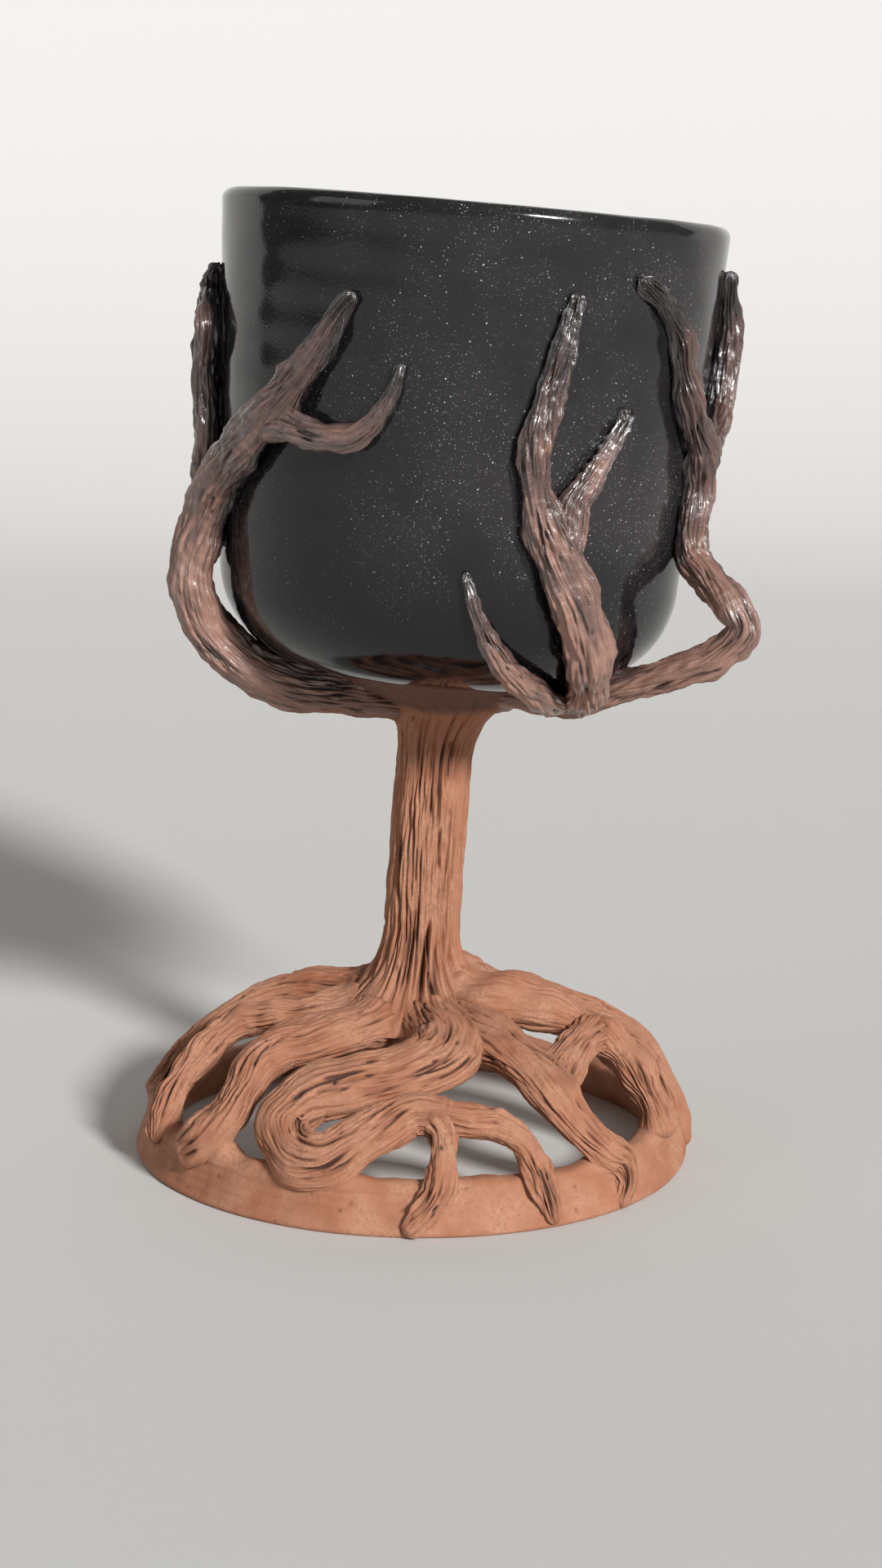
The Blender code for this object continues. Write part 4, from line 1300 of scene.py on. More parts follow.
@dataclass(frozen=True)
class CupPiece(TurnedPiece):
    """The cup: thrown thin, with a round lip and faint ridges left by the fingers."""

    FLOOR_STEPS: ClassVar[int] = 16
    INNER_CORNER_STEPS: ClassVar[int] = 20
    WALL_STEPS: ClassVar[int] = 54
    LIP_STEPS: ClassVar[int] = 16
    CORNER_STEPS: ClassVar[int] = 24

    finger_height: float = 0.025
    finger_pitch: float = 7.5
    finger_climb: float = 1.2
    plain_reach: float = 10.0
    dent: float = 0.06
    dent_length: float = 16.0
    wobble: float = 0.25
    wobble_start: float = 0.7
    # painted sheen of the light: the grey is laid on clear low down, thicker higher up, faint on the left and
    # full from the front round to the right
    clear_height: float = 9.0
    sheen_rise: float = 24.0
    sheen_from: float = -48.0
    sheen_spread: float = 50.0
    least_sheen: float = 0.25
    seed: int = 11

    def outline(self, cup: CupShape) -> np.ndarray:
        """Draws the cup's section.

        Args:
            cup: the cup's shape

        Returns:
            Outline from the middle of the inner floor over the lip to the middle of the underside.
        """

        def straight(start: np.ndarray, end: np.ndarray) -> list[tuple[float, ...]]:
            """Points of a straight wall after its start."""
            return [tuple(start + (end - start) * share) for share in np.linspace(0, 1, self.WALL_STEPS)[1:]]

        points = [(radius, cup.floor) for radius in np.linspace(0, cup.floor_radius, self.FLOOR_STEPS)]
        reach = cup.waist_radius - cup.wall - cup.floor_radius
        for turn in np.linspace(0, math.pi / 2, self.INNER_CORNER_STEPS)[1:]:
            rise = (cup.corner_radius - cup.floor) * (1 - math.cos(turn))
            points.append((cup.floor_radius + reach * math.sin(turn), cup.floor + rise))
        lip = cup.wall / 2
        points += straight(np.array(points[-1]), np.array([cup.rim_radius - cup.wall, cup.height - lip]))
        for turn in np.linspace(0, math.pi, self.LIP_STEPS)[1:]:
            across, up = lip * math.cos(turn), lip * math.sin(turn)
            points.append((cup.rim_radius - lip - across, cup.height - lip + up))
        points += straight(np.array(points[-1]), np.array(cup.profile(2)[:2]))
        points += [cup.profile(2 - share)[:2] for share in np.linspace(0, 1, self.CORNER_STEPS)[1:]]
        points += [(radius, 0.0) for radius in np.linspace(cup.floor_radius, 0, self.FLOOR_STEPS)[1:]]
        return np.array(points)

    def build(self, bench: Workbench, cup: CupShape) -> None:
        """Spins the cup, works in the unevenness of the throwing and dresses it.

        Args:
            bench: the workbench
            cup: the cup's shape
        """
        rng = np.random.default_rng(self.seed)
        piece = self.spin("cup_bowl_glazed", self.outline(cup), closed=False)
        points, normals, turn = self.read(piece)
        radius = np.hypot(points[:, 0], points[:, 1])
        spiral = points[:, 2] + self.finger_climb * turn
        wall = np.clip((radius - cup.floor_radius) / self.plain_reach, 0, 1)
        fingers = self.finger_height * np.sin(FULL_TURN * spiral / self.finger_pitch) * wall
        dents = self.dent * ripple(points, self.dent_length, rng) * wall
        points = points + normals * (fingers + dents)[:, None]
        turn = np.arctan2(points[:, 1], points[:, 0])
        high = np.clip(points[:, 2] / cup.height, 0, 1)
        points[:, 2] += self.wobble * high * np.sin(2 * turn + self.wobble_start)
        piece.data.vertices.foreach_set("co", bench.world(cup.placed(points)).ravel())
        # painted sheen: the lit side is marked grey, faint on the left, full from the front round to the
        # right, and rising from low down
        bearing = (np.degrees(turn) + 270.0) % 360.0 - 180.0
        aside = np.clip((bearing - self.sheen_from) / self.sheen_spread, self.least_sheen, 1)
        rise = np.clip((points[:, 2] - self.clear_height) / self.sheen_rise, 0, 1)
        bench.attach(piece, "haze_and_sheen", aside * rise)
        bench.close(piece, Finish.BLACK_GLAZE, ["cup_bowl"])


@dataclass(frozen=True)
class RingPiece(TurnedPiece):
    """The foot ring: a thrown band, smoothed by hand where the roots are pressed on to it."""

    CORNER_STEPS: ClassVar[int] = 8
    OUTLINE_POINTS: ClassVar[int] = 84
    PIT_FORCES: ClassVar[Span] = (0.4, 1.0)
    PIT_SIZES: ClassVar[Span] = (0.25, 0.6)

    flat_height: float = 2.5
    dent: float = 0.3
    dent_length: float = 17.0
    small_dent: float = 0.12
    small_dent_length: float = 5.0
    scrape: float = 0.05
    scrape_pitch: float = 1.7
    scrape_sway: float = 0.5
    scrape_waves: int = 3
    pinch_bearing: float = -43.0
    pinch_height: float = 1.8
    pinch_size: float = 2.2
    pits: int = 150
    pit_depth: float = 0.3
    # darkness in the pits: partly staining, partly painted shade
    pit_stain_and_shade: float = 0.8
    seed: int = 23

    def outline(self, ring: RingShape) -> np.ndarray:
        """Draws the ring's section with even steps.

        Args:
            ring: the ring's shape

        Returns:
            Closed outline of (radius, height).
        """
        corners = ring.outline(self.CORNER_STEPS)
        closed = np.concatenate([corners, corners[:1]])
        along = lengths_along(closed)
        at = np.linspace(0, along[-1], self.OUTLINE_POINTS)[:-1]
        return np.column_stack([np.interp(at, along, closed[:, axis]) for axis in (0, 1)])

    def build(self, bench: Workbench, ring: RingShape, blends: tuple[Blend, ...]) -> None:
        """Spins the ring, smooths it up to the roots and dresses it.

        Args:
            bench: the workbench
            ring: the ring's shape
            blends: the roots that stand on it
        """
        rng = np.random.default_rng(self.seed)
        piece = self.spin("foot_ring_clay", self.outline(ring), closed=True)
        points, normals, turn = self.read(piece)
        free = np.clip(points[:, 2] / self.flat_height, 0, 1)
        rise, seam = join_up(points, blends)
        rise = rise + self.dent * ripple(points, self.dent_length, rng)
        rise = rise + self.small_dent * ripple(points, self.small_dent_length, rng)
        scraped = points[:, 2] / self.scrape_pitch + self.scrape_sway * np.sin(self.scrape_waves * turn)
        rise = rise + self.scrape * np.sin(FULL_TURN * scraped)
        pinch = outward(self.pinch_bearing) * (ring.radius - ring.lean - ring.wall / 2)
        gap = np.linalg.norm(points - pinch - upward(ring.height), axis=1)
        rise = rise + self.pinch_height * np.exp(-((gap / self.pinch_size) ** 2))
        pitted = np.zeros(len(points))
        for _ in range(self.pits):
            gap = np.linalg.norm(points - points[rng.integers(len(points))], axis=1)
            force, size = rng.uniform(*self.PIT_FORCES), rng.uniform(*self.PIT_SIZES)
            pitted = np.maximum(pitted, force * np.exp(-((gap / size) ** 2)))
        points = points + normals * ((rise - self.pit_depth * pitted) * free)[:, None]
        piece.data.vertices.foreach_set("co", bench.world(points).ravel())
        # pits and root joins darkened partly by staining and partly by painted shade
        bench.attach(piece, "cavity", np.maximum(self.pit_stain_and_shade * pitted, SEAM_STAIN_AND_SHADE * seam))
        bench.close(piece, Finish.BARE_CLAY, ["foot_ring"])
        LOG.info("foot ring smoothed to %d roots", len(blends))


class Band(NamedTuple):
    """A smooth step: start where a value is at low, end where it is at high."""

    low: float
    high: float
    start: float = 0.0
    end: float = 1.0


class Noise(NamedTuple):
    """A noise: features for each unit of the position, finer layers, and the strength of those."""

    scale: float
    detail: float
    rough: float


class Speck(NamedTuple):
    """One kind of speck in a glaze: cells for each metre, radius in its cell, and brightness."""

    scale: float
    radius: float
    bright: float


class Graph:
    """A shader node tree that is put together socket by socket."""

    MIX_INPUTS = (0, 6, 7)
    MIX_RESULT = 2

    def __init__(self, tree: bpy.types.NodeTree) -> None:
        """Takes the tree to work in."""
        self.tree = tree

    def add(self, kind: str, settings: dict[str, object] | None = None, **values: Feed) -> bpy.types.Node:
        """Adds a node.

        Args:
            kind: the node's type
            settings: properties of the node
            values: a number, a colour or another node's output for each input, by the input's name

        Returns:
            The node.
        """
        node = self.tree.nodes.new(kind)
        for key, value in (settings or {}).items():
            setattr(node, key, value)
        for key, value in values.items():
            self.feed(node.inputs[key], value)
        return node

    def feed(self, socket: Socket, value: Feed) -> None:
        """Links an output to a socket, or sets the socket to a value.

        Args:
            socket: the input
            value: another node's output, a number, a vector or a colour
        """
        if isinstance(value, Socket):
            self.tree.links.new(value, socket)
        else:
            socket.default_value = value

    def coats(self, colour: Feed, *layers: tuple[Feed, Colour]) -> Feed:
        """Lays colours over a colour.

        Args:
            colour: the lowest colour
            layers: how much of a colour covers those below it, and that colour, from the bottom up

        Returns:
            The colour on top.
        """
        for share, tint in layers:
            node = self.add("ShaderNodeMix", {"data_type": "RGBA"})
            for at, value in zip(self.MIX_INPUTS, (share, colour, tint)):
                self.feed(node.inputs[at], value)
            colour = node.outputs[self.MIX_RESULT]
        return colour

    def math(self, operation: str, first: Feed, second: Feed) -> Socket:
        """Works on two numbers.

        Args:
            operation: what to do with them
            first: the first number
            second: the second number

        Returns:
            The result.
        """
        node = self.add("ShaderNodeMath", {"operation": operation})
        self.feed(node.inputs[0], first)
        self.feed(node.inputs[1], second)
        return node.outputs[0]

    def step(self, value: Feed, band: Band) -> Socket:
        """Takes a number through a smooth step.

        Args:
            value: the number
            band: the step

        Returns:
            The number after the step.
        """
        node = self.add("ShaderNodeMapRange", {"interpolation_type": "SMOOTHSTEP"}, Value=value)
        for key, number in zip(("From Min", "From Max", "To Min", "To Max"), band):
            node.inputs[key].default_value = number
        return node.outputs[0]

    def noise(self, place: Feed, kind: Noise) -> Socket:
        """Reads a noise.

        Args:
            place: the position to read it at
            kind: the noise

        Returns:
            A number of about 0 to 1.
        """
        node = self.add("ShaderNodeTexNoise", Vector=place, Scale=kind.scale, Detail=kind.detail)
        node.inputs["Roughness"].default_value = kind.rough
        return node.outputs[0]


class GroupKit:
    """Shared shader effects, each as a node group."""

    PATCHES = Noise(95.0, 5.0, 0.6)
    SAND = Noise(1500.0, 3.0, 0.6)
    GROG_SCALE = 420.0
    GROG_GRAIN = Band(0.16, 0.08)
    GRAINS = {
        "Lines": ((14.0, 230.0, 1.0), Noise(1.0, 4.0, 0.6)),
        "Strands": ((7.0, 70.0, 1.0), Noise(1.0, 3.0, 0.6)),
    }
    CLOUD = Noise(24.0, 5.0, 0.65)
    CROWDED = Band(0.42, 0.62, 0.36, 1.7)
    SPECKS = (
        Speck(850.0, 0.115, 1.0),
        Speck(1400.0, 0.14, 0.8),
        Speck(430.0, 0.075, 1.0),
        Speck(2300.0, 0.22, 0.35),
    )
    SPECK_CORE = 0.4
    SPECK_CHANCE = (0.34, 0.80)

    def __init__(self) -> None:
        """Builds the groups."""
        self.mottle = self.build_mottle()
        self.grain = self.build_grain()
        self.specks = self.build_specks()

    @staticmethod
    def start(name: str, place: str, outputs: Iterable[str]) -> tuple[Graph, Socket, bpy.types.Node]:
        """Starts a group that reads a position.

        Args:
            name: the group's name
            place: the name of the position
            outputs: names of the numbers that it gives

        Returns:
            The graph, the position and the output node.
        """
        tree = bpy.data.node_groups.new(name, "ShaderNodeTree")
        tree.interface.new_socket(place, in_out="INPUT", socket_type="NodeSocketVector")
        for key in outputs:
            tree.interface.new_socket(key, in_out="OUTPUT", socket_type="NodeSocketFloat")
        graph = Graph(tree)
        return graph, graph.add("NodeGroupInput").outputs[0], graph.add("NodeGroupOutput")

    def build_mottle(self) -> bpy.types.NodeTree:
        """Builds cloudy patches, fine sand and coarse grains of a fired clay, from a position in metres.

        Returns:
            The group.
        """
        graph, place, result = self.start("clay_mottle", "Vector", ("Patches", "Sand", "Grog"))
        graph.feed(result.inputs["Patches"], graph.noise(place, self.PATCHES))
        graph.feed(result.inputs["Sand"], graph.noise(place, self.SAND))
        cells = graph.add("ShaderNodeTexVoronoi", Vector=place, Scale=self.GROG_SCALE)
        graph.feed(result.inputs["Grog"], graph.step(cells.outputs["Distance"], self.GROG_GRAIN))
        return graph.tree

    def build_grain(self) -> bpy.types.NodeTree:
        """Builds fine lines drawn along a piece, from its own texture layout.

        Returns:
            The group.
        """
        graph, place, result = self.start("bark_grain", "Layout", self.GRAINS)
        for key, (stretch, kind) in self.GRAINS.items():
            scaled = graph.add("ShaderNodeVectorMath", {"operation": "MULTIPLY"})
            graph.feed(scaled.inputs[0], place)
            graph.feed(scaled.inputs[1], stretch)
            graph.feed(result.inputs[key], graph.noise(scaled.outputs[0], kind))
        return graph.tree

    def build_specks(self) -> bpy.types.NodeTree:
        """Builds fine pale specks in a glaze, thicker in some clouds, from a position in metres.

        Returns:
            The group.
        """
        graph, place, result = self.start("glaze_specks", "Vector", ("Specks", "Cloud"))
        cloud = graph.noise(place, self.CLOUD)
        crowd = graph.step(cloud, self.CROWDED)
        total: Feed = 0.0
        for speck in self.SPECKS:
            cells = graph.add("ShaderNodeTexVoronoi", Vector=place, Scale=speck.scale)
            dot = graph.step(cells.outputs["Distance"], Band(speck.radius, speck.radius * self.SPECK_CORE))
            draw = graph.add("ShaderNodeSeparateColor", Color=cells.outputs["Color"]).outputs[0]
            chance = Band(*self.SPECK_CHANCE, 0.0, speck.bright)
            lively = graph.step(graph.math("MULTIPLY", draw, crowd), chance)
            total = graph.math("MAXIMUM", total, graph.math("MULTIPLY", dot, lively))
        graph.feed(result.inputs["Specks"], total)
        graph.feed(result.inputs["Cloud"], cloud)
        return graph.tree


@dataclass(frozen=True)
class FiredFinish:
    """Base of the finishes: a material that reads the shared groups.

    gloss: how strongly the bare surface reflects
    relief_depth, relief_strength: the fine relief, in metres and as a share
    """

    groups: GroupKit
    name: str
    gloss: float = 0.5
    relief_depth: float = 0.0001
    relief_strength: float = 0.15

    def start(self) -> tuple[bpy.types.Material, Graph, bpy.types.Node]:
        """Starts a material.

        Returns:
            The material, its graph and its shader.
        """
        material = bpy.data.materials.new(self.name)
        material.use_nodes = True
        shader = material.node_tree.nodes["Principled BSDF"]
        shader.inputs["Specular IOR Level"].default_value = self.gloss
        return material, Graph(material.node_tree), shader

    @staticmethod
    def effect(graph: Graph, group: bpy.types.NodeTree, place: Socket) -> bpy.types.Node:
        """Adds a shared group to a material.

        Args:
            graph: the material's graph
            group: the group
            place: the position that the group reads

        Returns:
            The group's node.
        """
        node = graph.add("ShaderNodeGroup", {"node_tree": group})
        graph.feed(node.inputs[0], place)
        return node

    @staticmethod
    def stored(graph: Graph, name: str) -> Socket:
        """Value stored on the piece's points."""
        return graph.add("ShaderNodeAttribute", {"attribute_name": name}).outputs["Fac"]

    def relief(self, graph: Graph, shader: bpy.types.Node, height: Socket) -> None:
        """Gives a shader its fine relief.

        Args:
            graph: the material's graph
            shader: the shader
            height: height of the surface, of about 0 to 1
        """
        bump = graph.add("ShaderNodeBump", Height=height, Distance=self.relief_depth)
        bump.inputs["Strength"].default_value = self.relief_strength
        graph.feed(shader.inputs["Normal"], bump.outputs[0])


@dataclass(frozen=True)
class BarkFinish(FiredFinish):
    """Base of the two clays: mottled, and lined along the bark."""

    sand_share: float = 0.35
    line_share: float = 0.65

    def layers(self, graph: Graph) -> tuple[bpy.types.Node, bpy.types.Node]:
        """Adds what both clays are made up of.

        Args:
            graph: the material's graph

        Returns:
            The nodes of the mottle and of the grain.
        """
        place = graph.add("ShaderNodeTexCoord")
        mottle = self.effect(graph, self.groups.mottle, place.outputs["Object"])
        return mottle, self.effect(graph, self.groups.grain, place.outputs["UV"])

    def roughen(
        self, graph: Graph, shader: bpy.types.Node, mottle: bpy.types.Node, grain: bpy.types.Node
    ) -> None:
        """Gives a shader the relief of sand and lines.

        Args:
            graph: the material's graph
            shader: the shader
            mottle: the node of the mottle
            grain: the node of the grain
        """
        sand = graph.math("MULTIPLY", mottle.outputs["Sand"], self.sand_share)
        lines = graph.math("MULTIPLY", grain.outputs["Lines"], self.line_share)
        self.relief(graph, shader, graph.math("ADD", sand, lines))


@dataclass(frozen=True)
class BareClay(BarkFinish):
    """Unglazed orange clay, darkened in its cuts, pits and joins partly by rubbed-in staining and partly by
    painted shade.

    Each band says where a colour sets in, and how much of it there is.
    """

    gloss: float = 0.35
    relief_depth: float = 0.0005
    relief_strength: float = 0.7
    deep: Colour = (0.335, 0.130, 0.067, 1.0)
    pale: Colour = (0.470, 0.232, 0.138, 1.0)
    rosy: Colour = (0.425, 0.203, 0.137, 1.0)
    grime: Colour = (0.235, 0.108, 0.068, 1.0)
    brown: Colour = (0.235, 0.088, 0.045, 1.0)
    # near-black of the deepest cuts: staining with painted shade
    stain_and_shade: Colour = (0.050, 0.021, 0.014, 1.0)
    crown: Colour = (0.110, 0.058, 0.046, 1.0)
    cloudy: Band = Band(0.32, 0.68)
    streaky: Band = Band(0.42, 0.72, 0.0, 0.6)
    smeared: Band = Band(0.58, 0.76, 0.0, 0.35)
    dusty: Band = Band(0.24, 0.42, 0.0, 0.55)
    grainy: Band = Band(0.0, 1.0, 0.0, 0.25)
    cover_edge: Band = Band(0.3, 0.7, -0.2, 0.2)
    covered: Band = Band(0.15, 0.85, 0.0, 0.9)
    shallow: Band = Band(0.12, 0.55, 0.0, 0.6)
    sunken: Band = Band(0.48, 1.0, 0.0, 0.95)
    roughness: Band = Band(0.2, 0.8, 0.66, 0.86)

    def make(self) -> bpy.types.Material:
        """Builds the clay.

        Returns:
            The material.
        """
        material, graph, shader = self.start()
        mottle, grain = self.layers(graph)
        patches, sand = mottle.outputs["Patches"], mottle.outputs["Sand"]
        cavity = self.stored(graph, "cavity")
        dust = graph.math("MULTIPLY", patches, sand)
        cover = graph.math("ADD", self.stored(graph, "glaze"), graph.step(patches, self.cover_edge))
        colour = graph.coats(
            self.deep,
            (graph.step(patches, self.cloudy), self.pale),
            (graph.step(grain.outputs["Strands"], self.streaky), self.rosy),
            (graph.step(grain.outputs["Lines"], self.smeared), self.brown),
            (graph.step(dust, self.dusty), self.grime),
            (graph.step(mottle.outputs["Grog"], self.grainy), self.pale),
            (graph.step(cover, self.covered), self.crown),
            # the cavity layers: partly staining, partly painted shade in the cuts, pits and joins
            (graph.step(cavity, self.shallow), self.brown),
            (graph.step(cavity, self.sunken), self.stain_and_shade),
        )
        graph.feed(shader.inputs["Base Color"], colour)
        graph.feed(shader.inputs["Roughness"], graph.step(sand, self.roughness))
        self.roughen(graph, shader, mottle, grain)
        return material


@dataclass(frozen=True)
class GlazedClay(BarkFinish):
    """Brown clay under a thin glaze that turns black where it pools, left bare where it meets the trunk,
    darkened beside the cup by painted contact shade and in its cuts by staining and painted shade.

    Each band says where a colour or the gloss sets in, and how much of it there is.
    """

    gloss: float = 1.0
    relief_depth: float = 0.0008
    relief_strength: float = 0.9
    sand_share: float = 0.25
    line_share: float = 0.7
    worn: Colour = (0.350, 0.186, 0.137, 1.0)
    glazed: Colour = (0.104, 0.054, 0.045, 1.0)
    bare: Colour = (0.270, 0.130, 0.090, 1.0)
    black: Colour = (0.020, 0.014, 0.012, 1.0)
    # dark of the cuts: staining with painted shade
    stain_and_shade: Colour = (0.034, 0.016, 0.013, 1.0)
    patchy: Band = Band(0.25, 0.75, -0.14, 0.14)
    streaky: Band = Band(0.30, 0.70, 0.18, -0.18)
    covered: Band = Band(-0.08, 0.42)
    # where glaze pools and painted contact shade turns it black
    pooled_and_shaded: Band = Band(0.58, 0.90)
    unpooled: Band = Band(0.0, 0.8, 1.0, 0.0)
    lined: Band = Band(0.56, 0.74, 0.0, 0.45)
    sunken: Band = Band(0.22, 0.85, 0.0, 0.95)
    thin: Band = Band(-0.2, 0.6, 1.0, 0.0)
    roughness: Band = Band(0.0, 1.0, 0.26, 0.44)
    coat: Band = Band(0.0, 1.0, 1.0, 0.25)
    coat_roughness: float = 0.16

    def make(self) -> bpy.types.Material:
        """Builds the glazed clay.

        Returns:
            The material.
        """
        material, graph, shader = self.start()
        mottle, grain = self.layers(graph)
        cavity, glaze, bare = (self.stored(graph, name) for name in ("cavity", "glaze", "bare"))
        patchy = graph.step(mottle.outputs["Patches"], self.patchy)
        streaky = graph.step(grain.outputs["Strands"], self.streaky)
        cover = graph.math("ADD", glaze, graph.math("ADD", patchy, streaky))
        # black where glaze pools, and painted contact shade beside the cup
        pool_and_shade = graph.math("MULTIPLY", graph.step(cover, self.pooled_and_shaded), graph.step(bare, self.unpooled))
        lines = graph.step(grain.outputs["Lines"], self.lined)
        colour = graph.coats(
            self.worn,
            (graph.step(cover, self.covered), self.glazed),
            (bare, self.bare),
            (pool_and_shade, self.black),
            # cuts darkened by staining and painted shade, and fine lines of the grain
            (graph.math("MAXIMUM", graph.step(cavity, self.sunken), lines), self.stain_and_shade),
        )
        graph.feed(shader.inputs["Base Color"], colour)
        dull = graph.math("MAXIMUM", bare, graph.step(cover, self.thin))
        graph.feed(shader.inputs["Roughness"], graph.step(dull, self.roughness))
        graph.feed(shader.inputs["Coat Weight"], graph.step(dull, self.coat))
        shader.inputs["Coat Roughness"].default_value = self.coat_roughness
        self.roughen(graph, shader, mottle, grain)
        return material


@dataclass(frozen=True)
class BlackGlaze(FiredFinish):
    """Black glaze full of fine pale specks, with a clouded grey painted sheen on its lit side."""

    black: Colour = (0.0040, 0.0040, 0.0052, 1.0)
    # clouded grey of the painted sheen on the lit side
    haze_and_sheen: Colour = (0.0250, 0.0230, 0.0235, 1.0)
    speck: Colour = (0.80, 0.79, 0.77, 1.0)
    cloudy: Band = Band(0.30, 0.68, 0.25, 1.0)
    sown: Band = Band(0.0, 1.0, 0.3, 1.0)
    roughness: Band = Band(0.0, 1.0, 0.04, 0.16)

    def make(self) -> bpy.types.Material:
        """Builds the glaze.

        Returns:
            The material.
        """
        material, graph, shader = self.start()
        place = graph.add("ShaderNodeTexCoord").outputs["Object"]
        specks = self.effect(graph, self.groups.specks, place)
        mottle = self.effect(graph, self.groups.mottle, place)
        stored = self.stored(graph, "haze_and_sheen")
        # painted sheen: the stored lit-side mask lays clouded grey over the black and sows the specks thicker
        # there
        haze_and_sheen = graph.math("MULTIPLY", stored, graph.step(specks.outputs["Cloud"], self.cloudy))
        sown = graph.math("MULTIPLY", specks.outputs["Specks"], graph.step(stored, self.sown))
        colour = graph.coats(self.black, (haze_and_sheen, self.haze_and_sheen), (sown, self.speck))
        graph.feed(shader.inputs["Base Color"], colour)
        graph.feed(shader.inputs["Roughness"], graph.step(haze_and_sheen, self.roughness))
        self.relief(graph, shader, mottle.outputs["Sand"])
        return material


class Lamp(Enum):
    """Kinds of studio light."""

    DISTANT = "SUN"
    PANEL = "AREA"


def stand(thing: bpy.types.Object, axes: Iterable[np.ndarray | Vector], place: np.ndarray | Vector) -> None:
    """Puts a camera or a light into the scene.

    Args:
        thing: the object
        axes: the directions of its side, its top and its back
        place: where it stands, in metres
    """
    bpy.context.scene.collection.objects.link(thing)
    turned = np.eye(4)
    turned[:3] = np.column_stack([*axes, place])
    thing.matrix_world = Matrix(turned.tolist())


@dataclass(frozen=True)
class Light:
    """A soft light that faces the object.

    AIM: height of the point that it faces, in metres
    place: where it stands, in metres
    spread: its angle if it is distant, its side in metres if it is a panel
    """

    AIM: ClassVar[float] = 0.09

    name: str
    kind: Lamp
    place: Vector
    spread: float
    power: float

    def build(self) -> None:
        """Adds the light."""
        data = bpy.data.lights.new(self.name, self.kind.value)
        setattr(data, "angle" if self.kind is Lamp.DISTANT else "size", self.spread)
        data.energy = self.power
        back = unit(np.array(self.place) - upward(self.AIM))
        side = unit(np.cross(upward(1.0), back))
        stand(bpy.data.objects.new(self.name, data), (side, np.cross(back, side), back), self.place)


@dataclass(frozen=True)
class Studio:
    """Camera, soft light and a pale floor that curves up into a backdrop.

    eye: where the camera stands, in millimetres from the middle of the foot ring's underside
    sheet_size, floor_reach, floor_depth, backdrop_curve: the floor and its backdrop, in metres
    """

    SHEET_ROWS: ClassVar[int] = 80

    eye: Vector = (4.6306, -504.8994, 171.2662)
    right: Vector = (0.9997744, 0.0039917, 0.0208596)
    up: Vector = (-0.0212381, 0.1879088, 0.9819568)
    lens: float = 59.0625
    sensor: float = 36.0
    nearest: float = 0.01
    key: Light = Light("key", Lamp.DISTANT, (3.9, -5.95, 3.7), math.radians(9.3), 4.08)
    fill: Light = Light("fill", Lamp.PANEL, (-3.0, -1.6, 1.6), 2.2, 15.0)
    air: Colour = (0.98, 0.97, 0.96, 1.0)
    ambient: float = 0.16
    sheet_size: float = 8.0
    floor_reach: float = 20.0
    floor_depth: float = 1.0
    floor_colour: Colour = (0.62, 0.61, 0.59, 1.0)
    floor_roughness: float = 0.8
    backdrop_curve: float = 0.9

    def build(self, bench: Workbench) -> None:
        """Sets the whole studio up round the object.

        Args:
            bench: the workbench, which knows where the object stands
        """
        self.shoot(bench)
        self.lay_floor()
        self.key.build()
        self.fill.build()
        world = bpy.data.worlds.new("studio_air")
        world.use_nodes = True
        sky = world.node_tree.nodes["Background"]
        sky.inputs["Color"].default_value = self.air
        sky.inputs["Strength"].default_value = self.ambient
        bpy.context.scene.world = world
        bpy.context.scene.view_settings.view_transform = "Standard"
        LOG.info("studio set up")

    def shoot(self, bench: Workbench) -> None:
        """Places the camera as the picture was taken.

        Args:
            bench: the workbench
        """
        data = bpy.data.cameras.new("camera")
        data.sensor_fit = "VERTICAL"
        data.sensor_height = self.sensor
        data.lens = self.lens
        data.clip_start = self.nearest
        camera = bpy.data.objects.new("camera", data)
        stand(camera, (self.right, self.up, np.cross(self.right, self.up)), bench.world(np.array(self.eye)))
        bpy.context.scene.camera = camera

    def lay_floor(self) -> None:
        """Lays the floor and turns its far edge up into a backdrop."""
        bpy.ops.object.select_all(action="DESELECT")
        bpy.ops.mesh.primitive_grid_add(
            x_subdivisions=1, y_subdivisions=self.SHEET_ROWS, size=self.sheet_size
        )
        floor = bpy.context.object
        floor.name = "floor"
        front = min(vertex.co.y for vertex in floor.data.vertices)
        for vertex in floor.data.vertices:
            past = vertex.co.y - self.floor_depth
            if past <= 0:
                vertex.co.x = math.copysign(self.floor_reach, vertex.co.x)
            if vertex.co.y == front:
                vertex.co.y = -self.floor_reach
            swing = min(max(past / self.backdrop_curve, 0.0), math.pi / 2)
            climb = max(past - self.backdrop_curve * math.pi / 2, 0.0)
            vertex.co.y = min(vertex.co.y, self.floor_depth) + self.backdrop_curve * math.sin(swing)
            vertex.co.z = self.backdrop_curve * (1 - math.cos(swing)) + climb
        bpy.ops.object.shade_smooth()
        material = bpy.data.materials.new("pale_floor")
        material.use_nodes = True
        shader = material.node_tree.nodes["Principled BSDF"]
        shader.inputs["Base Color"].default_value = self.floor_colour
        shader.inputs["Roughness"].default_value = self.floor_roughness
        shader.inputs["Specular IOR Level"].default_value = 0.0
        floor.data.materials.append(material)


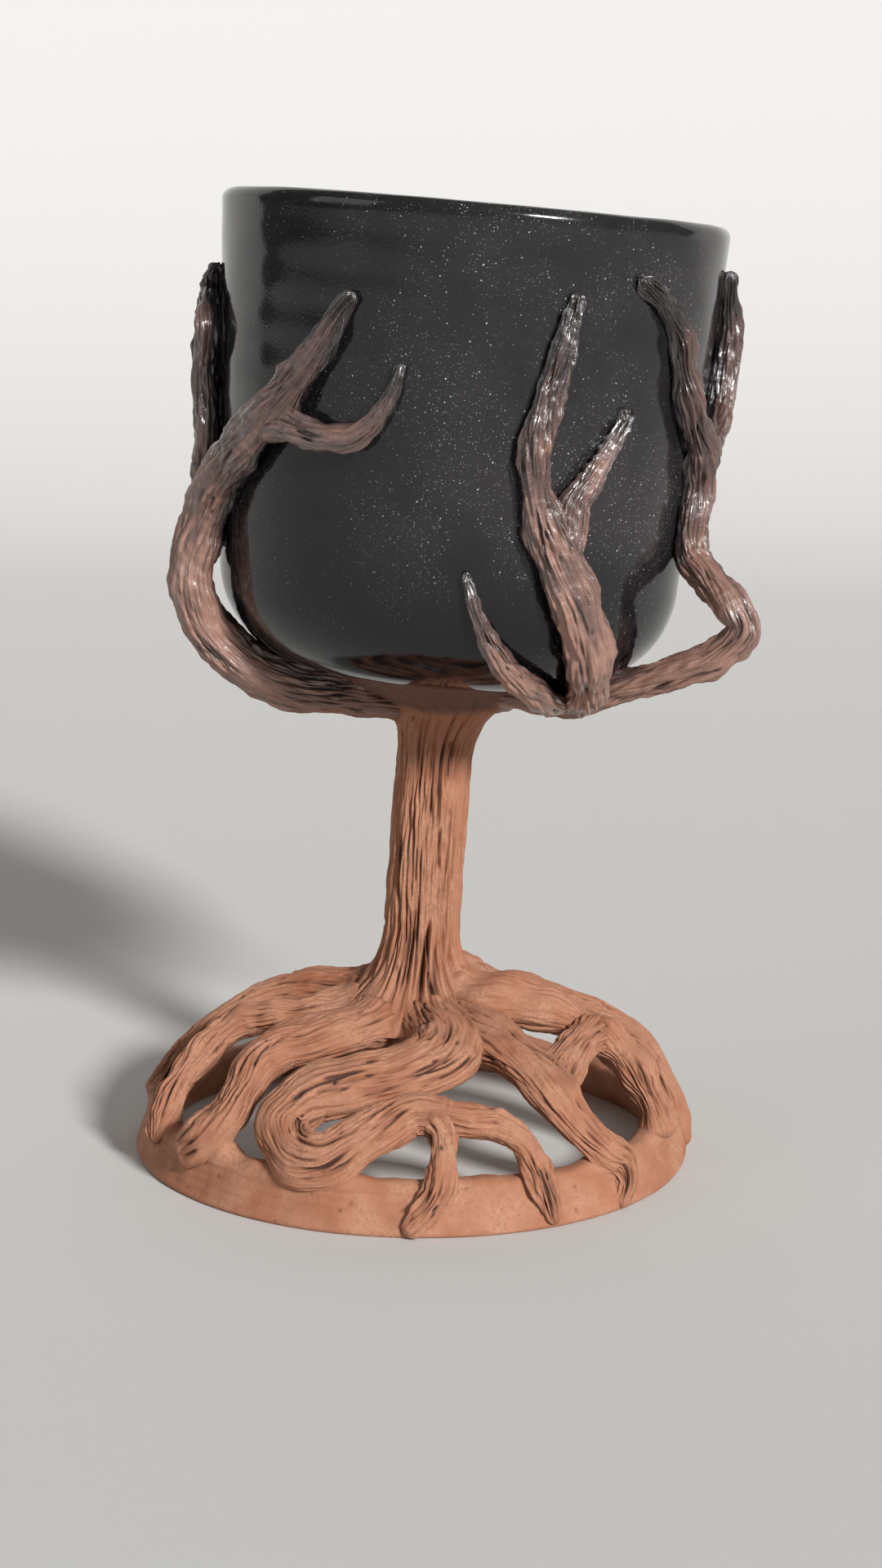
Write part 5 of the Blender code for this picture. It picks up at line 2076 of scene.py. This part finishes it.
@dataclass(frozen=True)
class TrunkShape:
    """The trunk, flared at its foot and at its crown, and leaning from the one to the other."""

    radius: float = 7.6
    foot_radius: float = 18.0
    foot_flare: float = 22.0
    crown_radius: float = 22.0
    crown_flare: float = 21.0
    flare_curve: float = 2.5
    foot_offset: float = 0.5
    underside: float = 27.0
    overlap: float = 0.6
    plate: float = 4.0
    places: int = 60

    def rows(self, cup: CupShape) -> np.ndarray:
        """Lays out places up the trunk, as far as just inside the cup's floor.

        Args:
            cup: the cup that the trunk carries

        Returns:
            Centre, normal and section of each place.
        """
        foot = np.array([self.foot_offset, 0.0, self.underside])
        crown = cup.foot + upward(self.overlap)
        tall = crown[2] - foot[2]
        rows = []
        for share in np.linspace(0, 1, self.places):
            below = max(0.0, 1 - share * tall / self.foot_flare) ** self.flare_curve
            above = max(0.0, 1 - (1 - share) * tall / self.crown_flare) ** self.flare_curve
            radius = self.radius + (self.foot_radius - self.radius) * below
            flare = (self.crown_radius - self.radius) * above
            straight = flare * min(1.0, max(0.0, (1 - share) * tall - self.plate) / self.plate)
            centre = foot + (crown - foot) * share + np.array([straight / 2, 0.0, 0.0])
            radius += flare
            rows.append([*centre, 0.0, -1.0, 0.0, 2 * radius - straight, 2 * radius])
        return np.array(rows)


class Chalice:
    """The whole chalice: the forms that its pieces follow, and the pieces.

    SMOOTH_STARTS, HUMP_LUMP: roots that leave the trunk as a smooth hump, with its length, and its lumps
    CROWN_LIMBS: how many limbs leave the trunk's crown, the first of the list
    THICK_SPACING, THIN_SPACING: distance between the sections of thick and of thin pieces
    JOIN: reach of the clay that is smoothed over a join of that kind
    """

    TRUNK_BARK = Carving(
        Cuts(1.6, 0.85, 0.36, 8.0, 34.0, 0.03), Cuts(0.8, 0.20, 0.26, 6.0, 22.0, 0.05),
        strand=2.4, strand_depth=0.5, wander=0.5, lump=0.12, swell=0.012,
        patch=0.3, calm_side=0.7, calm_end=20.0, splay=Cuts(2.0, 1.9, 0.72, 12.0, 28.0, 0.14),
    )
    ROOT_BARK = Carving(
        Cuts(1.9, 0.66, 0.38, 5.0, 20.0, 0.16), Cuts(0.85, 0.19, 0.24, 3.0, 11.0, 0.2),
        strand=2.6, strand_depth=0.42, nicks_per_mm=0.8, lump=0.45, calm_end=5.0,
    )
    LIMB_BARK = Carving(
        Cuts(1.5, 0.55, 0.34, 5.0, 20.0, 0.10), Cuts(0.7, 0.18, 0.22, 3.0, 10.0, 0.14),
        strand=2.2, strand_depth=0.42, roughness=0.20, lump=0.45, lump_length=10.0,
        knob=0.12, knob_length=2.4, patch=0.45,
    )
    TWIG_BARK = Carving(
        Cuts(1.4, 0.40, 0.30, 4.0, 15.0, 0.10), Cuts(0.7, 0.15, 0.20, 3.0, 9.0, 0.14),
        strand=1.8, strand_depth=0.25, wander=0.7, roughness=0.17, lump=0.2, lump_length=9.0,
        knob=0.11, knob_length=2.4,
    )
    SMOOTH_STARTS = {"right_root": 30.0, "left_root_branch": 22.0}
    HUMP_LUMP = 0.9
    CROWN_LIMBS = 5
    THICK_SPACING = 0.5
    THIN_SPACING = 0.4
    TRUNK_JOIN = 4.0
    CROWN_JOIN = 4.0
    CUP_JOIN = 1.5
    RING_JOIN = 4.5
    LIMB_JOIN = 4.0
    TWIG_JOIN = 2.5
    ROOT_JOIN = 3.5
    RUNNER_JOIN = 3.0
    TRUNK_FOOT_JOIN = 4.5
    ROOT_FOOT_JOIN = 5.0

    def __init__(self) -> None:
        """Lays out the plain forms."""
        self.cup = CupShape()
        self.ring = RingShape()
        self.trunk = Sweep("trunk", TrunkShape().rows(self.cup), self.THIN_SPACING, level=True)
        self.limbs = self.lay_out(LIMBS, self.cup.locate, self.THICK_SPACING)
        self.twigs = self.lay_out(TWIGS, self.cup.locate, self.THIN_SPACING)
        self.roots = self.lay_out(ROOTS, self.ring.locate, self.THICK_SPACING)
        self.runners = self.lay_out(RUNNERS, self.ring.locate, self.THIN_SPACING)

    @staticmethod
    def lay_out(
        group: dict[str, list[Place]],
        locate: Callable[[Place], tuple[np.ndarray, np.ndarray]],
        spacing: float,
    ) -> list[Sweep]:
        """Lays sweeps through the places of a group.

        Args:
            group: the places of each piece, by its name
            locate: gives the point and the normal of a place
            spacing: distance between the sections

        Returns:
            A sweep for each piece.
        """
        sweeps = []
        for name, places in group.items():
            rows = [[*np.concatenate(locate(place)), place.width, place.thickness] for place in places]
            sweeps.append(Sweep(name, np.array(rows), spacing))
        return sweeps

    def bark(self, sweep: Sweep, usual: Carving) -> Carving:
        """Carves a piece as usual, but calmer at the start of one that leaves the trunk as a smooth hump.

        Args:
            sweep: the piece's form
            usual: the carving of its kind

        Returns:
            The piece's own carving.
        """
        smooth = self.SMOOTH_STARTS.get(sweep.name, 0.0)
        return replace(usual, calm_start=smooth, lump=self.HUMP_LUMP) if smooth else usual

    def pieces(self) -> list[BarkPiece]:
        """Gives every carved piece its neighbours.

        Returns:
            The trunk, the limbs, the twigs, the roots and the runners.
        """
        trunk = Blend(self.trunk, self.TRUNK_JOIN)
        cup = Blend(self.cup, self.CUP_JOIN)
        ring = Blend(self.ring, self.RING_JOIN)
        limbs_on_trunk = blend_all(self.limbs[:self.CROWN_LIMBS], self.LIMB_JOIN)
        roots_on_trunk = blend_all(self.roots, self.TRUNK_FOOT_JOIN)
        limbs, roots = blend_all(self.limbs, self.LIMB_JOIN), blend_all(self.roots, self.ROOT_JOIN)
        twigs, runners = blend_all(self.twigs, self.TWIG_JOIN), blend_all(self.runners, self.RUNNER_JOIN)
        limbs_on_twigs = blend_all(self.limbs, self.TWIG_JOIN)
        roots_on_runners = blend_all(self.roots, self.RUNNER_JOIN)
        upright = limbs_on_trunk + roots_on_trunk + (Blend(self.cup, self.CROWN_JOIN),)
        kinds = (
            ([self.trunk], self.TRUNK_BARK, upright, Finish.BARE_CLAY, 1),
            (self.limbs, self.LIMB_BARK, limbs + twigs + (trunk, cup), Finish.GLAZED_CLAY, 100),
            (self.twigs, self.TWIG_BARK, limbs_on_twigs + (cup,), Finish.GLAZED_CLAY, 200),
            (self.roots, self.ROOT_BARK, roots + runners + (trunk, ring), Finish.BARE_CLAY, 300),
            (self.runners, self.TWIG_BARK, roots_on_runners + (trunk, ring), Finish.BARE_CLAY, 400),
        )
        made = []
        for sweeps, bark, joins, finish, seed in kinds:
            for at, sweep in enumerate(sweeps):
                others = tuple(join for join in joins if join.form is not sweep)
                made.append(BarkPiece(sweep, self.bark(sweep, bark), others, finish, seed + at))
        return made

    def build(self, bench: Workbench) -> None:
        """Builds every piece.

        Args:
            bench: the workbench
        """
        CupPiece().build(bench, self.cup)
        resting = blend_all(self.roots, self.ROOT_FOOT_JOIN) + blend_all(self.runners, self.RUNNER_JOIN)
        RingPiece().build(bench, self.ring, resting)
        for piece in self.pieces():
            piece.build(bench, self.cup, self.trunk)


def main() -> None:
    """Loads the frame, dresses the chalice and sets up the studio."""
    logging.basicConfig(level=logging.INFO, format="%(message)s")
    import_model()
    groups = GroupKit()
    finishes = {
        Finish.BLACK_GLAZE: BlackGlaze(groups, "fired_black_glaze").make(),
        Finish.BARE_CLAY: BareClay(groups, "fired_bare_clay").make(),
        Finish.GLAZED_CLAY: GlazedClay(groups, "fired_glazed_clay").make(),
    }
    bench = Workbench(finishes)
    Chalice().build(bench)
    Studio().build(bench)


if __name__ == "__main__":
    main()
